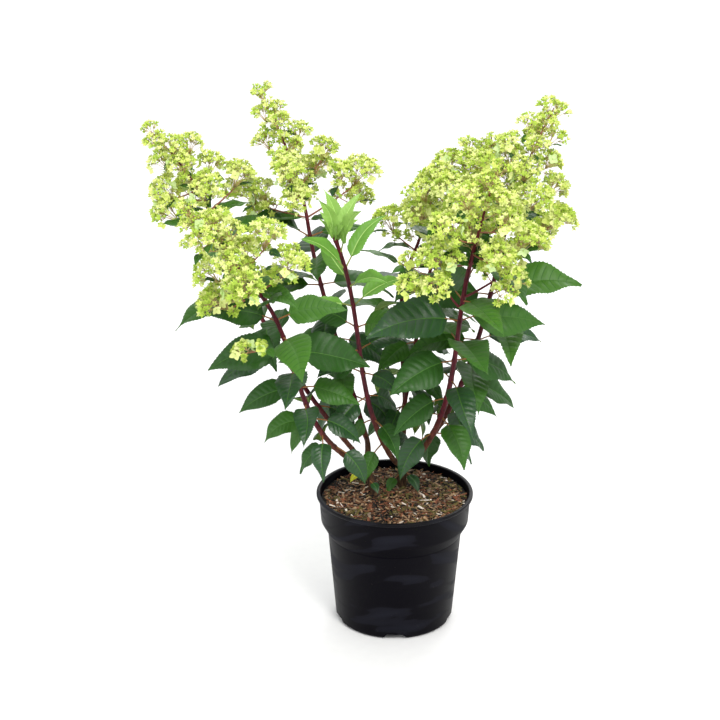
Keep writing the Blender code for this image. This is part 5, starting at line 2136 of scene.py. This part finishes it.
def dress_bloom(name, node, heads, cane=None, stalk=None):
    """All of one flower head as three pieces: florets, stalks and small leaves."""
    florets, stalks, bracts = Pile(), Pile(), Pile()
    rng = np.random.default_rng(int(heads[0].seed * SEED_SPAN))
    draw = random.Random(heads[0].seed)
    for head in heads:
        dress_head(florets, stalks, head, rng)
        dress_head_bract(bracts, stalks, head, draw)
    if cane:
        dress_rachis(stalks, cane)
        clothe_rachis(florets, stalks, cane, heads, rng)
        dress_bracts(bracts, stalks, cane)
    if stalk:
        radii = np.linspace(*SIDE_STALK_RADII, SIDE_STALK_STEPS + 1) * MM
        tube(stalks, curve(stalk, SIDE_STALK_STEPS), radii, SIDE_STALK_SIDES, look("rachis_red"))
    bracts.make("bracts_" + name, "leaf", [node], sharp=LEAF_SHARP)
    florets.make("florets_" + name, "bloom", [node])
    stalks.make("stalks_" + name, "bloom", [node])


# Growing the whole plant; taken holds owner and tree of all that leaves and heads keep clear of


def leafy_lengths(cane):
    middle = middle_of(cane)
    return (cane.bare, middle), (middle, STEM_END)


def grow_cane(cane, taken):
    middle = middle_of(cane)
    space = gap_along(cane)
    taken.append((cane.name, node_tree("cane_" + cane.name)))
    taken.append(((cane.name, 0), tree_of(cane_stem(cane, cane.bare + space, middle))))
    taken.append(((cane.name, 1), tree_of(cane_stem(cane, middle + space, 1.0))))
    make_cane(cane)


def grow_bloom(cane, taken):
    node = "bloom_" + cane.name
    dress_bloom(cane.name, node, kept_heads(bloom_heads(cane), taken), cane=cane)
    taken.append((node, node_tree(node)))


def grow_side_bloom(side, taken):
    cane = next(c for c in CANES if c.name == side.cane)
    half = 0 if side.along < middle_of(cane) else 1
    tree = next(tree for owner, tree in taken if owner == (cane.name, half))
    stalk = side_stalk(cane, side.along, vector_mm(side.tip), tree)
    heads = kept_heads(side_bloom_heads(side, stalk[2]), taken)
    dress_bloom(side.name, side.name, heads, stalk=stalk)
    taken.append((side.name, node_tree(side.name)))


def share_along(cane, place):
    """How far along the cane, 0 to 1, a place on it lies."""
    path = cane_path(cane)
    return min(steps(PLACES_ALONG), key=lambda share: (bezier(path, share) - place).length)


def grow_leaves(cane, half, taken):
    """One leafy length of a cane, as a piece of blades and one of stalks."""
    others = [tree for owner, tree in taken if owner != (cane.name, half)]
    leaves = leaves_of(cane, *leafy_lengths(cane)[half], others)
    taken.extend((cane.name + "_leaves", tree) for _, tree in leaves)
    placed = [(blade, share_along(cane, blade[0])) for blade, _ in leaves]
    blades, stalks = dress_leaves(cane, half, placed)
    word = ("lower", "upper")[half]
    node = f"{word}_leaves_{cane.name}"
    blades.make(f"{word}_blades_{cane.name}", "leaf", [node], sharp=LEAF_SHARP)
    stalks.make(f"{word}_petioles_{cane.name}", "leaf", [node])


def grow():
    """Canes first, then flower heads, then leaves, as the solids grow."""
    taken = [(name, node_tree("stump_" + name)) for name in STUMPS]
    for cane in CANES:
        grow_cane(cane, taken)
    for cane in CANES:
        if cane.bloom_tip:
            grow_bloom(cane, taken)
    for side in SIDE_BLOOMS:
        grow_side_bloom(side, taken)
    for cane in CANES:
        for half in range(2):
            grow_leaves(cane, half, taken)


# Camera, floor and light


def make_camera():
    data = bpy.data.cameras.new("camera")
    data.lens = CAMERA_LENS
    data.sensor_width = CAMERA_SENSOR
    camera = new_object("camera", data)
    camera.location = CAMERA_PLACE
    camera.rotation_euler = (CAMERA_TILT, 0.0, 0.0)
    bpy.context.scene.camera = camera


def area_light(lamp):
    data = bpy.data.lights.new(lamp.name, "AREA")
    data.shape = "DISK"
    data.size = lamp.size
    data.energy = lamp.power
    data.color = lamp.colour
    light = new_object(lamp.name, data)
    light.location = lamp.place
    way = Vector(lamp.target) - Vector(lamp.place)
    light.rotation_euler = way.to_track_quat("-Z", "Y").to_euler()


def make_stage():
    bpy.ops.mesh.primitive_plane_add(size=FLOOR_SIZE)
    floor = bpy.context.object
    floor.name = "studio_floor"
    floor.location.z = -FLOOR_DROP
    floor.data.materials.append(floor_material())
    world = bpy.data.worlds.new("studio")
    world.use_nodes = True
    light = world.node_tree.nodes["Background"]
    light.inputs["Color"].default_value = (*WHITE, 1.0)
    light.inputs["Strength"].default_value = WORLD_STRENGTH
    bpy.context.scene.world = world
    for lamp in LIGHTS:
        area_light(lamp)
    bpy.context.scene.view_settings.view_transform = "Standard"


make_camera()
make_stage()
make_pot()
make_mulch()
for stump_name, stump_sizes in STUMPS.items():
    make_stump(stump_name, stump_sizes)
    make_late_leaves(stump_name)
grow()
